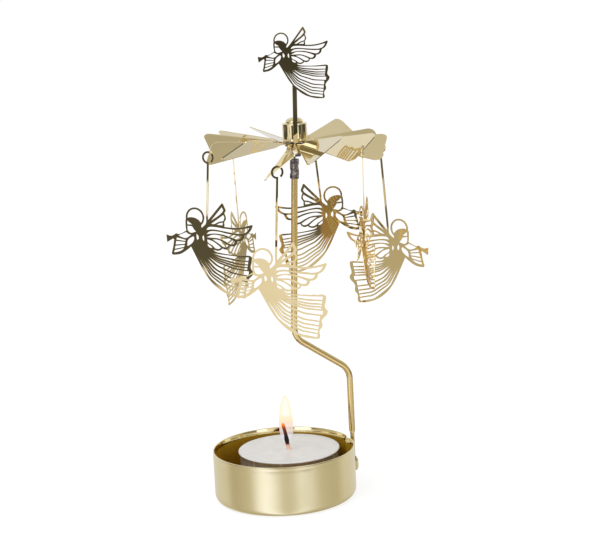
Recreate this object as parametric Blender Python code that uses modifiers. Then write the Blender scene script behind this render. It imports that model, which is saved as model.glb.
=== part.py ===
"""Candle carousel: a tealight cup with a bent wire post, and a turning rotor hung with etched charms.

Frame: metres, +Z up, origin at the centre of the cup's flat base, +Y away from the viewer.
Every piece is one closed solid in its own object.
"""

import math

import bmesh
import bpy
from mathutils import Matrix, Vector

# Cup: it holds a standard tealight with room round it
TEALIGHT_RADIUS = 0.0190
CUP_ROOM = 0.0074
CUP_RADIUS = TEALIGHT_RADIUS + CUP_ROOM
CUP_HEIGHT = 0.0188
CUP_WALL = 0.0005
CUP_CORNER = 0.0026
CUP_BEAD_DROP = 0.0011
CUP_BEAD_STEP = 0.00012

# Strap loop pushed out of the cup wall, which takes the post's tongue
LOOP_AZIMUTH = math.radians(18.0)
LOOP_BOTTOM = 0.0066
LOOP_HEIGHT = 0.0045
LOOP_FLAT_HALF = 0.0022
LOOP_FOOT_HALF = 0.0042
LOOP_THICKNESS = 0.0005
LOOP_WINDOW_HALF = 0.0030

# Post
POST_RADIUS = 0.00107
POST_LEAN = math.radians(3.0)
POST_LOW_BEND_Z = 0.0451
POST_HIGH_BEND_Z = 0.0602
POST_BEND_RADIUS = 0.0075
POST_BEND_STEPS = 6
TONGUE_THICKNESS = 0.0013
TONGUE_WIDTH = 0.0032
TONGUE_BOTTOM = 0.0058
TONGUE_TOP = 0.0203
TONGUE_TAPER = 0.0010

# Ferrule and needle: the ferrule ends clear below the rotor's collar
FERRULE_RADIUS = 0.00168
FERRULE_LENGTH = 0.0073
FERRULE_ROOM = 0.00065
FERRULE_SOCKET = 0.0034
FERRULE_PLUG = 0.0026
CRIMP_DEPTH = 0.00014
CRIMP_SHARES = (0.60, 0.36)
NEEDLE_RADIUS = 0.00040
NEEDLE_POINT = 0.0022

# Tealight
TEALIGHT_HEIGHT = 0.0158
TEALIGHT_WALL = 0.0003
TEALIGHT_LIP = 0.0004
TEALIGHT_TAPER = 0.0004
TEALIGHT_OFFSET_SHARES = (0.2754, 0.6667)
WAX_DROP = 0.0007
WAX_EDGE = 0.0005
WICK_RADIUS = 0.00075
WICK_ABOVE_WAX = 0.0105
WICK_LEAN = 0.0019
WICK_BEND_SHARES = ((0.12, 0.16), (0.35, 0.33), (0.6, 0.52), (0.82, 0.78), (1.0, 1.0))
SUSTAINER_RADIUS = 0.0060
SUSTAINER_THICKNESS = 0.0003
SUSTAINER_NECK = 0.0024
SUSTAINER_NECK_WALL = 0.0004

# Rotor: the post, ferrule and needle reach up to the disc's height
AXIS_X = 0.0100
DISC_Z = 0.1319
DISC_THICKNESS = 0.0003
DISC_BORE = 0.0032
DISC_FLAT_RADIUS = 0.0053
VANE_COUNT = 12
VANE_PHASE = math.radians(18.0)
VANE_SLIT = 0.0004
VANE_NECK_END = 0.0090
NECK_ROW_SHARES = (0.2, 0.45, 0.7, 1.0)
VANE_REACH = 0.0325
VANE_CORNER = 0.0030
VANE_CORNER_STEPS = 4
VANE_CELLS = 4
HOOK_HOLE_RADIUS = 0.00072
HOOK_HOLE_EDGE = 0.00110

# Each vane is bent by hand: droop, pitch and yaw in degrees, counter-clockwise from VANE_PHASE
VANE_BENDS = (
    (6.0, 37.0, 0.0), (-1.0, 37.0, 0.0), (3.0, 37.0, 2.0), (0.0, 30.0, 2.5),
    (1.2, 36.0, 1.5), (0.0, 37.0, 0.0), (3.0, 36.0, 0.0), (-2.0, 28.0, 0.0),
    (10.6, 38.0, 1.8), (0.0, 34.0, 1.0), (1.0, 31.0, 0.0), (5.3, 29.0, 0.0),
)

# Hub, dome, bearing and collar
HUB_RADIUS = 0.0045
HUB_HEIGHT = 0.0073
HUB_BORE = 0.0034
HUB_ROOF = 0.0009
HUB_SHOULDER = 0.0007
DOME_RADIUS = 0.00325
DOME_HEIGHT = 0.0017
BEARING_RADIUS = 0.0016
BEARING_BORE = 0.0010
BEARING_HEIGHT = 0.0036
BEARING_ROOF = 0.0008
COLLAR_RADIUS = 0.0039
COLLAR_FLANGE = 0.0009
COLLAR_HEIGHT = 0.0046
COLLAR_NECK = 0.0024
COLLAR_NOSE = 0.0018
COLLAR_BORE = 0.00125
SPIGOT_RISE = 0.0016

# Etched plates
PLATE_THICKNESS = 0.0003
RING_OUTER = 0.0023
RING_WIRE = 0.0006
RING_GAP_START = math.radians(-52.0)
RING_STEPS = 15
STEM_LEVEL_SHARES = (0.0, 0.25, 0.5, 0.75, 1.0)
RING_SEAT_DROP = 0.0005
STEM_WIDTH = 0.00075
LONG_STEM = 0.0313
SHORT_STEM = 0.0231
FIGURE_SPAN_X = 0.03375
FIGURE_SPAN_Z = 0.03310
TOP_FIGURE_SHARE = 0.753
STRIP_LENGTH = 0.0198
TOP_FIGURE_YAW = math.radians(11.5)
TOP_FIGURE_LEAN = math.radians(1.8)
STRIP_WIDTH = 0.0016
STRIP_OFFSET = 0.00137
STRIP_SIDE = 0.0009
FIGURE_TURN = math.radians(1.7)

# Clearances
TOUCH_GAP = 0.0003
BORE_GAP = 0.00028
NEEDLE_GAP = 0.00022
CUT_OVERRUN = 0.002
SEAM = 0.0002
MERGE = 0.00001

# Facets
TURN_STEPS = 48
SMALL_TURN_STEPS = 20
HUB_STEPS = 32
NEEDLE_STEPS = 10
HOLE_STEPS = 12
DOME_STEPS = 5
ARC_STEPS = 4
SMOOTH_ANGLE = math.radians(35.0)

# Charms: name, hook vane number, azimuths in degrees of the ring and of the trumpet, long stem or not
CHARMS = (
    ("charm_right", 0, 328.0, 328.0, True),
    ("charm_back", 2, 20.0, 5.0, False),
    ("charm_back_left", 4, 80.0, 69.0, True),
    ("charm_left", 6, 158.0, 158.0, False),
    ("charm_front", 8, 200.0, 171.0, True),
    ("charm_front_right", 10, 259.0, 256.0, False),
)

# Figure outline, as shares of FIGURE_SPAN_X and FIGURE_SPAN_Z from the figure's lower left corner,
# seen from the side where the trumpet points left; it runs clockwise from the stem.
JOINT_SHARE = (0.468, 0.790)
SHOULDER_SHARES = ((0.404, 0.728), (0.409, 0.713), (0.432, 0.736))
STEM_LEFT_SHARE_Z = 0.768
STEM_RIGHT_SHARE_Z = 0.806
UPPER_WING_SHARES = (
    (0.628, 1.010), (0.642, 1.008), (0.664, 0.968), (0.678, 0.936), (0.664, 0.906), (0.680, 0.873),
    (0.685, 0.843), (0.667, 0.803), (0.672, 0.778), (0.670, 0.758),
)
MAIN_WING_SHARES = (
    (0.742, 0.758), (0.822, 0.766), (0.902, 0.786), (0.982, 0.818), (0.994, 0.808), (0.982, 0.768),
    (0.947, 0.718), (0.910, 0.693), (0.902, 0.658), (0.872, 0.626), (0.832, 0.616), (0.820, 0.578),
    (0.787, 0.556), (0.745, 0.556), (0.727, 0.526), (0.692, 0.510), (0.664, 0.516), (0.637, 0.493),
    (0.597, 0.483), (0.557, 0.493),
)
ROBE_TOP_SHARES = ((0.577, 0.475), (0.642, 0.465), (0.792, 0.463), (0.902, 0.471), (0.987, 0.475))
HEM_SHARES = (
    (1.004, 0.461), (1.002, 0.408), (0.994, 0.353), (1.004, 0.330), (1.025, 0.308), (1.022, 0.273),
    (0.987, 0.228), (0.970, 0.196), (0.979, 0.158), (0.977, 0.128), (0.954, 0.096), (0.954, 0.058),
    (0.962, 0.023), (0.947, 0.000),
)
ROBE_UNDER_SHARES = (
    (0.842, 0.000), (0.742, 0.020), (0.642, 0.063), (0.542, 0.138), (0.452, 0.243), (0.372, 0.368),
    (0.297, 0.490),
)
STRIP_AFTER = 3
SLEEVE_SHARES = (
    (0.242, 0.438), (0.172, 0.390), (0.087, 0.370), (0.072, 0.386), (0.087, 0.468), (0.094, 0.546),
)
TRUMPET_SHARES = (
    (0.080, 0.551), (0.014, 0.503), (0.000, 0.588), (0.052, 0.580), (0.087, 0.593), (0.114, 0.615),
    (0.142, 0.610),
)
FACE_SHARES = ((0.232, 0.660), (0.223, 0.705), (0.219, 0.758), (0.221, 0.790))
HALO_CENTRE_SHARE = (0.327, 0.818)
HALO_OUTER_SHARE = 0.108
HALO_INNER_SHARE = 0.090
HALO_START = math.radians(194.0)
HALO_END = math.radians(-42.0)
HALO_INNER_START = math.radians(190.0)
HALO_INNER_END = math.radians(-33.0)
HALO_STEPS = 10

# Openings in the figure, as shares like the outline
HAIR_TOP_SHARES = ((0.392, 0.775), (0.367, 0.797), (0.332, 0.812), (0.287, 0.816), (0.250, 0.808))
FACE_OPENING_SHARES = (
    ((0.240, 0.775), (0.262, 0.757), (0.298, 0.737), (0.240, 0.731)),
    ((0.240, 0.715), (0.298, 0.716), (0.318, 0.690), (0.345, 0.664), (0.318, 0.652), (0.285, 0.643),
     (0.252, 0.664)),
)
ARM_OPENING_SHARES = (
    ((0.144, 0.596), (0.232, 0.643), (0.262, 0.626), (0.290, 0.622), (0.232, 0.578), (0.182, 0.582)),
    ((0.257, 0.558), (0.317, 0.608), (0.328, 0.592), (0.320, 0.553), (0.287, 0.513), (0.250, 0.490)),
    ((0.354, 0.640), (0.377, 0.618), (0.382, 0.590), (0.364, 0.573), (0.354, 0.603)),
    ((0.434, 0.636), (0.444, 0.608), (0.446, 0.570), (0.430, 0.586), (0.424, 0.613)),
)
SLEEVE_OPENING_SHARES = (
    ((0.124, 0.570), (0.226, 0.557), (0.228, 0.544), (0.120, 0.546)),
    ((0.118, 0.530), (0.226, 0.532), (0.222, 0.511), (0.113, 0.490)),
    ((0.111, 0.474), (0.220, 0.498), (0.216, 0.477), (0.106, 0.440)),
    ((0.103, 0.424), (0.212, 0.463), (0.197, 0.443), (0.152, 0.416), (0.099, 0.400)),
)
WING_OPENING_SHARES = (
    ((0.467, 0.698), (0.487, 0.728), (0.542, 0.740), (0.672, 0.738), (0.812, 0.744), (0.957, 0.780),
     (0.932, 0.738), (0.887, 0.710), (0.792, 0.702), (0.672, 0.708), (0.542, 0.713)),
    ((0.470, 0.652), (0.502, 0.683), (0.602, 0.696), (0.702, 0.686), (0.802, 0.682), (0.880, 0.684),
     (0.862, 0.650), (0.827, 0.638), (0.762, 0.650), (0.662, 0.670), (0.562, 0.670)),
    ((0.474, 0.618), (0.542, 0.653), (0.652, 0.653), (0.742, 0.633), (0.800, 0.610), (0.787, 0.582),
     (0.752, 0.576), (0.682, 0.603), (0.602, 0.623), (0.532, 0.620)),
    ((0.542, 0.603), (0.612, 0.605), (0.672, 0.586), (0.728, 0.558), (0.710, 0.538), (0.672, 0.536),
     (0.612, 0.568)),
    ((0.477, 0.594), (0.542, 0.583), (0.602, 0.553), (0.645, 0.523), (0.622, 0.508), (0.582, 0.508),
     (0.542, 0.536), (0.487, 0.566)),
    ((0.487, 0.548), (0.532, 0.522), (0.545, 0.508), (0.517, 0.508), (0.490, 0.528)),
    ((0.516, 0.806), (0.631, 0.968), (0.650, 0.936), (0.637, 0.911)),
    ((0.520, 0.772), (0.654, 0.885), (0.666, 0.858), (0.656, 0.820), (0.602, 0.803), (0.548, 0.772)),
    ((0.582, 0.770), (0.612, 0.788), (0.652, 0.801), (0.650, 0.770)),
)

# Robe slots run between these two curves, from the body to the hem
ROBE_UPPER_SHARES = ((0.548, 0.452), (0.672, 0.449), (0.842, 0.450), (0.968, 0.458))
ROBE_LOWER_SHARES = ((0.418, 0.303), (0.562, 0.143), (0.762, 0.032), (0.930, 0.016))
ROBE_HEM_RIB_SHARES = (0.0, 0.10, 0.19, 0.26, 0.33, 0.46, 0.61, 0.72, 0.82, 0.91, 1.0)
ROBE_HEM_REACH_SHARES = (0.0, 0.0, 0.0, 0.0, 0.022, 0.0, 0.0, 0.0, 0.0, 0.0)
RIB_HALF_START_SHARE = 0.026
RIB_HALF_HEM_SHARE = 0.014


def clear_scene():
    for obj in list(bpy.data.objects):
        bpy.data.objects.remove(obj, do_unlink=True)


def new_collection(name):
    collection = bpy.data.collections.new(name)
    bpy.context.scene.collection.children.link(collection)
    return collection


def principled(name, colour, roughness, metallic):
    material = bpy.data.materials.new(name)
    material.use_nodes = True
    shader = material.node_tree.nodes["Principled BSDF"]
    shader.inputs["Base Color"].default_value = (*colour, 1.0)
    shader.inputs["Roughness"].default_value = roughness
    shader.inputs["Metallic"].default_value = metallic
    return material


def link_object(name, data, collection, material=None):
    obj = bpy.data.objects.new(name, data)
    collection.objects.link(obj)
    if material is not None:
        data.materials.append(material)
    return obj


def settle(obj):
    """Turn a curve or a modified mesh into one plain mesh with welded caps, shaded smooth by angle."""
    graph = bpy.context.evaluated_depsgraph_get()
    graph.update()
    mesh = bpy.data.meshes.new_from_object(obj.evaluated_get(graph))
    name = obj.name
    matrix = obj.matrix_world.copy()
    collection = obj.users_collection[0]
    materials = list(obj.data.materials)
    bpy.data.objects.remove(obj, do_unlink=True)
    shape = bmesh.new()
    shape.from_mesh(mesh)
    bmesh.ops.remove_doubles(shape, verts=shape.verts, dist=MERGE)
    bmesh.ops.recalc_face_normals(shape, faces=shape.faces)
    shape.to_mesh(mesh)
    shape.free()
    mesh.materials.clear()
    for material in materials:
        mesh.materials.append(material)
    mesh.shade_smooth()
    mesh.set_sharp_from_angle(angle=SMOOTH_ANGLE)
    mesh.name = name
    settled = bpy.data.objects.new(name, mesh)
    collection.objects.link(settled)
    settled.matrix_world = matrix
    settled.name = name
    return settled


def turned(name, profile, collection, material, closed=False, steps=SMALL_TURN_STEPS):
    """Turn a profile of (radius, height) points, which runs down its outer side, about Z."""
    mesh = bpy.data.meshes.new(name)
    edges = [(i, i + 1) for i in range(len(profile) - 1)]
    if closed:
        edges.append((len(profile) - 1, 0))
    mesh.from_pydata([(radius, 0.0, height) for radius, height in profile], edges, [])
    obj = link_object(name, mesh, collection, material)
    turn = obj.modifiers.new("turn", "SCREW")
    turn.steps = steps
    turn.render_steps = steps
    turn.use_merge_vertices = True
    turn.merge_threshold = MERGE
    return settle(obj)


def arc(centre, radius, start, end, steps=ARC_STEPS):
    """Points of a circular arc, ends included, in the plane of the given 2D centre."""
    points = []
    for i in range(steps + 1):
        angle = start + (end - start) * i / steps
        points.append((centre[0] + radius * math.cos(angle), centre[1] + radius * math.sin(angle)))
    return points


def smooth_step(value):
    value = min(1.0, max(0.0, value))
    return value * value * (3.0 - 2.0 * value)


def cut(target, cutter, operation="DIFFERENCE"):
    """Cut or join by a Boolean, and settle the result."""
    boolean = target.modifiers.new("cut", "BOOLEAN")
    boolean.operation = operation
    boolean.solver = "EXACT"
    boolean.object = cutter
    return settle(target)


def hide_cutter(obj):
    obj.hide_render = True
    obj.display_type = "WIRE"


def polar(radius, azimuth, height=0.0):
    return Vector((radius * math.cos(azimuth), radius * math.sin(azimuth), height))


def prism(name, outline, low, high, collection):
    """Upright prism over a 2D outline, between two heights."""
    shape = bmesh.new()
    face = shape.faces.new([shape.verts.new((x, y, low)) for x, y in outline])
    lifted = bmesh.ops.extrude_face_region(shape, geom=[face])
    raised = [item for item in lifted["geom"] if isinstance(item, bmesh.types.BMVert)]
    bmesh.ops.translate(shape, verts=raised, vec=(0.0, 0.0, high - low))
    bmesh.ops.recalc_face_normals(shape, faces=shape.faces)
    mesh = bpy.data.meshes.new(name)
    shape.to_mesh(mesh)
    shape.free()
    return link_object(name, mesh, collection)


def tongue_radius():
    """Distance from the cup's axis to the middle of the post's tongue."""
    return CUP_RADIUS + TOUCH_GAP + TONGUE_THICKNESS / 2


def make_cup(parts, cutters, material):
    inner = CUP_RADIUS - CUP_WALL
    inner_corner = CUP_CORNER - CUP_WALL
    rim = CUP_WALL / 2
    profile = [(0.0, CUP_WALL)]
    profile += arc((inner - inner_corner, CUP_CORNER), inner_corner, -math.pi / 2, 0.0)
    profile += arc((inner + rim, CUP_HEIGHT - rim), rim, math.pi, 0.0)
    profile += [
        (CUP_RADIUS, CUP_HEIGHT - CUP_BEAD_DROP + CUP_BEAD_STEP),
        (CUP_RADIUS - CUP_BEAD_STEP, CUP_HEIGHT - CUP_BEAD_DROP),
        (CUP_RADIUS - CUP_BEAD_STEP, CUP_HEIGHT - CUP_BEAD_DROP - CUP_BEAD_STEP),
        (CUP_RADIUS, CUP_HEIGHT - CUP_BEAD_DROP - 2 * CUP_BEAD_STEP),
    ]
    profile += arc((CUP_RADIUS - CUP_CORNER, CUP_CORNER), CUP_CORNER, 0.0, -math.pi / 2)
    profile += [(0.0, 0.0)]
    cup = turned("candle_cup", profile, parts, material, steps=TURN_STEPS)

    turn = Matrix.Rotation(LOOP_AZIMUTH, 4, "Z")
    top = LOOP_BOTTOM + LOOP_HEIGHT
    reach = CUP_RADIUS + CUT_OVERRUN
    window = prism(
        "loop_window_cutter",
        [(inner - CUT_OVERRUN, -LOOP_WINDOW_HALF), (reach, -LOOP_WINDOW_HALF),
         (reach, LOOP_WINDOW_HALF), (inner - CUT_OVERRUN, LOOP_WINDOW_HALF)],
        LOOP_BOTTOM, top, cutters)
    window.matrix_world = turn
    hide_cutter(window)

    bay = tongue_radius() + TONGUE_THICKNESS / 2 + TOUCH_GAP
    root = math.sqrt(CUP_RADIUS ** 2 - LOOP_FOOT_HALF ** 2)
    inner_side = [(root - SEAM, -LOOP_FOOT_HALF + LOOP_THICKNESS), (bay, -LOOP_FLAT_HALF),
                  (bay, LOOP_FLAT_HALF), (root - SEAM, LOOP_FOOT_HALF - LOOP_THICKNESS)]
    outer_side = [(root - SEAM, LOOP_FOOT_HALF), (bay + LOOP_THICKNESS, LOOP_FLAT_HALF),
                  (bay + LOOP_THICKNESS, -LOOP_FLAT_HALF), (root - SEAM, -LOOP_FOOT_HALF)]
    strap = prism("loop_strap", inner_side + outer_side, LOOP_BOTTOM, top, cutters)
    strap.matrix_world = turn
    hide_cutter(strap)
    cup = cut(cup, window)
    return cut(cup, strap, "UNION")


def post_line_x(height):
    """X of the leaning upper post, ferrule and needle at a height: they aim at the pivot point."""
    return AXIS_X - (pivot_height() - height) * math.tan(POST_LEAN)


def pivot_height():
    """Height of the needle's point, just under the bearing's roof."""
    return DISC_Z + HUB_HEIGHT - HUB_ROOF - TOUCH_GAP - BEARING_ROOF - NEEDLE_GAP


def ferrule_foot():
    """Height of the ferrule's lower end."""
    nose = DISC_Z - DISC_THICKNESS / 2 - TOUCH_GAP - COLLAR_HEIGHT
    return nose - FERRULE_ROOM - FERRULE_LENGTH


def rounded_route(corners, radius, steps):
    """Points along straight runs whose corners are rounded by arcs of one radius."""
    points = [corners[0]]
    for before, corner, after in zip(corners, corners[1:], corners[2:]):
        to_before = (before - corner).normalized()
        to_after = (after - corner).normalized()
        half_angle = to_before.angle(to_after) / 2
        setback = radius / math.tan(half_angle)
        middle = corner + (to_before + to_after).normalized() * radius / math.sin(half_angle)
        start = corner + to_before * setback - middle
        end = corner + to_after * setback - middle
        sweep = start.angle(end)
        for i in range(steps + 1):
            turn = sweep * i / steps
            points.append(middle + (start * math.sin(sweep - turn) + end * math.sin(turn)) / math.sin(sweep))
    points.append(corners[-1])
    return points


def make_post(parts, material):
    foot = polar(tongue_radius(), LOOP_AZIMUTH)
    socket_top = ferrule_foot() + FERRULE_SOCKET - TOUCH_GAP
    corners = [
        Vector((foot.x, foot.y, TONGUE_BOTTOM)),
        Vector((foot.x, foot.y, POST_LOW_BEND_Z)),
        Vector((post_line_x(POST_HIGH_BEND_Z), 0.0, POST_HIGH_BEND_Z)),
        Vector((post_line_x(socket_top), 0.0, socket_top)),
    ]
    route = rounded_route(corners, POST_BEND_RADIUS, POST_BEND_STEPS)
    shoulder = [Vector((foot.x, foot.y, TONGUE_TOP)), Vector((foot.x, foot.y, TONGUE_TOP + TONGUE_TAPER))]
    route[1:1] = shoulder
    curve = bpy.data.curves.new("post_rod", "CURVE")
    curve.dimensions = "3D"
    curve.bevel_depth = POST_RADIUS
    curve.bevel_resolution = 2
    curve.use_fill_caps = True
    spline = curve.splines.new("POLY")
    spline.points.add(len(route) - 1)
    for point, place in zip(spline.points, route):
        point.co = (*place, 1.0)
    post = settle(link_object("post_rod", curve, parts, material))
    outward = polar(1.0, LOOP_AZIMUTH)
    along = Vector((-outward.y, outward.x, 0.0))
    for vertex in post.data.vertices:
        flat = smooth_step((TONGUE_TOP + TONGUE_TAPER - vertex.co.z) / TONGUE_TAPER)
        offset = vertex.co - foot
        thin = 1.0 + flat * (TONGUE_THICKNESS / (2 * POST_RADIUS) - 1.0)
        wide = 1.0 + flat * (TONGUE_WIDTH / (2 * POST_RADIUS) - 1.0)
        vertex.co += outward * offset.dot(outward) * (thin - 1.0)
        vertex.co += along * offset.dot(along) * (wide - 1.0)
    return post


def lean_at(height):
    """Frame of a leaning piece whose own base stands on the post's line at a height."""
    place = Matrix.Translation((post_line_x(height), 0.0, height))
    return place @ Matrix.Rotation(POST_LEAN, 4, "Y")


def make_ferrule(parts, material):
    length = FERRULE_LENGTH / math.cos(POST_LEAN)
    wide_bore = POST_RADIUS + BORE_GAP
    fine_bore = NEEDLE_RADIUS + NEEDLE_GAP
    outer = FERRULE_RADIUS
    edge = CRIMP_DEPTH
    profile = [(0.0, length - FERRULE_PLUG), (fine_bore, length - FERRULE_PLUG), (fine_bore, length)]
    profile += [(outer - edge, length), (outer, length - edge)]
    for share in CRIMP_SHARES:
        middle = length * share
        profile += [
            (outer, middle + 2 * CRIMP_DEPTH), (outer - CRIMP_DEPTH, middle), (outer, middle - 2 * CRIMP_DEPTH),
        ]
    profile += [(outer, edge), (outer - edge, 0.0), (wide_bore, 0.0), (wide_bore, FERRULE_SOCKET)]
    profile.append((0.0, FERRULE_SOCKET))
    ferrule = turned("needle_ferrule", profile, parts, material)
    ferrule.matrix_world = lean_at(ferrule_foot())
    return ferrule


def make_needle(parts, material):
    length = (pivot_height() - ferrule_foot()) / math.cos(POST_LEAN)
    foot = FERRULE_LENGTH / math.cos(POST_LEAN) - FERRULE_PLUG + TOUCH_GAP
    profile = [(0.0, length), (NEEDLE_RADIUS, length - NEEDLE_POINT), (NEEDLE_RADIUS, foot), (0.0, foot)]
    needle = turned("pivot_needle", profile, parts, material, steps=NEEDLE_STEPS)
    needle.matrix_world = lean_at(ferrule_foot())
    return needle


def tealight_frame():
    """The tealight stands off centre, by shares of the free room in the cup."""
    room = CUP_ROOM - CUP_WALL
    across, away = TEALIGHT_OFFSET_SHARES
    return Matrix.Translation((room * across, room * away, CUP_WALL + TOUCH_GAP))


def make_tealight(parts, materials):
    """Cup, wax, sustainer and wick, each in the tealight's own frame on the cup's floor."""
    wall = TEALIGHT_RADIUS - TEALIGHT_LIP
    bead = (TEALIGHT_LIP + TEALIGHT_WALL) / 2
    bead_centre = (TEALIGHT_RADIUS - bead, TEALIGHT_HEIGHT - bead)
    foot = wall - TEALIGHT_TAPER
    profile = [
        (0.0, TEALIGHT_WALL), (foot - TEALIGHT_WALL - TEALIGHT_TAPER, TEALIGHT_WALL),
        (foot - TEALIGHT_WALL, TEALIGHT_WALL + TEALIGHT_TAPER),
    ]
    profile += arc(bead_centre, bead, math.pi, -math.pi / 3)
    profile += [(wall, TEALIGHT_HEIGHT - 3 * bead), (foot, TEALIGHT_TAPER), (foot - TEALIGHT_TAPER, 0.0)]
    profile.append((0.0, 0.0))
    cup = turned("tealight_cup", profile, parts, materials["aluminium"], steps=TURN_STEPS)

    floor = TEALIGHT_WALL + TOUCH_GAP
    wax_top = TEALIGHT_HEIGHT - WAX_DROP
    wax_low = foot - TEALIGHT_WALL - TOUCH_GAP
    wax_high = wall - TEALIGHT_WALL - TOUCH_GAP
    disc_top = floor + SUSTAINER_THICKNESS
    neck = WICK_RADIUS + BORE_GAP + SUSTAINER_NECK_WALL
    neck_top = disc_top + SUSTAINER_NECK
    profile = [
        (WICK_RADIUS + BORE_GAP, wax_top - WAX_EDGE / 2), (2 * SUSTAINER_NECK, wax_top - WAX_EDGE),
        (wax_high - SUSTAINER_NECK, wax_top - WAX_EDGE), (wax_high, wax_top),
        (wax_high, wax_top - WAX_EDGE), (wax_low, floor + TEALIGHT_TAPER),
        (wax_low - TEALIGHT_TAPER, floor), (SUSTAINER_RADIUS + TOUCH_GAP, floor),
        (SUSTAINER_RADIUS + TOUCH_GAP, disc_top + TOUCH_GAP), (neck + TOUCH_GAP, disc_top + TOUCH_GAP),
        (neck + TOUCH_GAP, neck_top + TOUCH_GAP), (WICK_RADIUS + BORE_GAP, neck_top + TOUCH_GAP),
    ]
    wax = turned("tealight_wax", profile, parts, materials["wax"], closed=True, steps=TURN_STEPS)

    profile = [
        (WICK_RADIUS + BORE_GAP, neck_top), (neck, neck_top), (neck, disc_top),
        (SUSTAINER_RADIUS, disc_top), (SUSTAINER_RADIUS, floor), (WICK_RADIUS + BORE_GAP, floor),
    ]
    sustainer = turned("wick_sustainer", profile, parts, materials["aluminium"], closed=True)

    curve = bpy.data.curves.new("wick", "CURVE")
    curve.dimensions = "3D"
    curve.bevel_depth = WICK_RADIUS
    curve.bevel_resolution = 1
    curve.use_fill_caps = True
    spline = curve.splines.new("POLY")
    route = [(0.0, 0.0, floor), (0.0, 0.0, wax_top)]
    for rise, lean in WICK_BEND_SHARES:
        route.append((-WICK_LEAN * lean, 0.0, wax_top + WICK_ABOVE_WAX * rise))
    spline.points.add(len(route) - 1)
    for point, place in zip(spline.points, route):
        point.co = (*place, 1.0)
    wick = settle(link_object("wick", curve, parts, materials["wick"]))
    for obj in (cup, wax, sustainer, wick):
        obj.matrix_world = tealight_frame()


def rotor_frame():
    return Matrix.Translation((AXIS_X, 0.0, DISC_Z))


def vane_axes(number, along):
    """Directions along, across and square to a vane's sheet at a distance from the rotor axis."""
    droop, pitch, yaw = (math.radians(bend) for bend in VANE_BENDS[number])
    azimuth = VANE_PHASE + number * 2 * math.pi / VANE_COUNT + yaw
    outward = polar(1.0, azimuth)
    sideways = polar(1.0, azimuth + math.pi / 2)
    upward = Vector((0.0, 0.0, 1.0))
    along_axis = outward * math.cos(droop) - upward * math.sin(droop)
    square = outward * math.sin(droop) + upward * math.cos(droop)
    twist = pitch * smooth_step((along - DISC_FLAT_RADIUS) / (VANE_NECK_END - DISC_FLAT_RADIUS))
    across_axis = sideways * math.cos(twist) + square * math.sin(twist)
    return along_axis, across_axis, along_axis.cross(across_axis)


def vane_point(number, along, across):
    """Point in the middle of a vane's sheet, in the rotor's frame."""
    azimuth = VANE_PHASE + number * 2 * math.pi / VANE_COUNT
    along_axis, across_axis, _ = vane_axes(number, along)
    return polar(DISC_FLAT_RADIUS, azimuth) + along_axis * (along - DISC_FLAT_RADIUS) + across_axis * across


def vane_half_width(along):
    half = along * math.tan(math.pi / VANE_COUNT) - VANE_SLIT / 2
    past = along - (VANE_REACH - VANE_CORNER)
    if past > 0.0:
        half -= VANE_CORNER - math.sqrt(max(0.0, VANE_CORNER ** 2 - past ** 2))
    return half


def make_vane_rotor(parts, cutters, material):
    shape = bmesh.new()
    columns = VANE_COUNT * VANE_CELLS
    step = 2 * math.pi / columns
    bore = [shape.verts.new(polar(DISC_BORE, VANE_PHASE + i * step)) for i in range(columns)]
    flat = [shape.verts.new(polar(DISC_FLAT_RADIUS, VANE_PHASE + i * step)) for i in range(columns)]
    for i in range(columns):
        j = (i + 1) % columns
        shape.faces.new((bore[i], flat[i], flat[j], bore[j]))
    rows = [DISC_FLAT_RADIUS + (VANE_NECK_END - DISC_FLAT_RADIUS) * share for share in NECK_ROW_SHARES]
    for i in range(VANE_CORNER_STEPS + 1):
        turn = math.pi / 2 * i / VANE_CORNER_STEPS
        rows.append(VANE_REACH - VANE_CORNER + VANE_CORNER * math.sin(turn))
    half_cells = VANE_CELLS // 2
    for number in range(VANE_COUNT):
        start = number * VANE_CELLS - half_cells
        before = [flat[(start + i) % columns] for i in range(VANE_CELLS + 1)]
        for along in rows:
            half = vane_half_width(along)
            row = []
            for i in range(VANE_CELLS + 1):
                across = half * (i - half_cells) / half_cells
                row.append(shape.verts.new(vane_point(number, along, across)))
            for i in range(VANE_CELLS):
                shape.faces.new((before[i], row[i], row[i + 1], before[i + 1]))
            before = row
    mesh = bpy.data.meshes.new("vane_rotor")
    shape.to_mesh(mesh)
    shape.free()
    disc = link_object("vane_rotor", mesh, parts, material)
    thicken = disc.modifiers.new("thicken", "SOLIDIFY")
    thicken.thickness = DISC_THICKNESS
    thicken.offset = 0.0
    disc = settle(disc)

    shape = bmesh.new()
    for _, number, _, _, _ in CHARMS:
        along, across, square = vane_axes(number, VANE_REACH)
        place = Matrix((along, across, square)).transposed().to_4x4()
        place.translation = vane_point(number, VANE_REACH - HOOK_HOLE_EDGE, 0.0)
        bmesh.ops.create_cone(
            shape, cap_ends=True, segments=HOLE_STEPS, radius1=HOOK_HOLE_RADIUS,
            radius2=HOOK_HOLE_RADIUS, depth=CUT_OVERRUN, matrix=place)
    mesh = bpy.data.meshes.new("hook_hole_cutters")
    shape.to_mesh(mesh)
    shape.free()
    holes = link_object("hook_hole_cutters", mesh, cutters)
    hide_cutter(holes)
    disc = cut(disc, holes)
    disc.matrix_world = rotor_frame()
    holes.matrix_world = rotor_frame()


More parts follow.
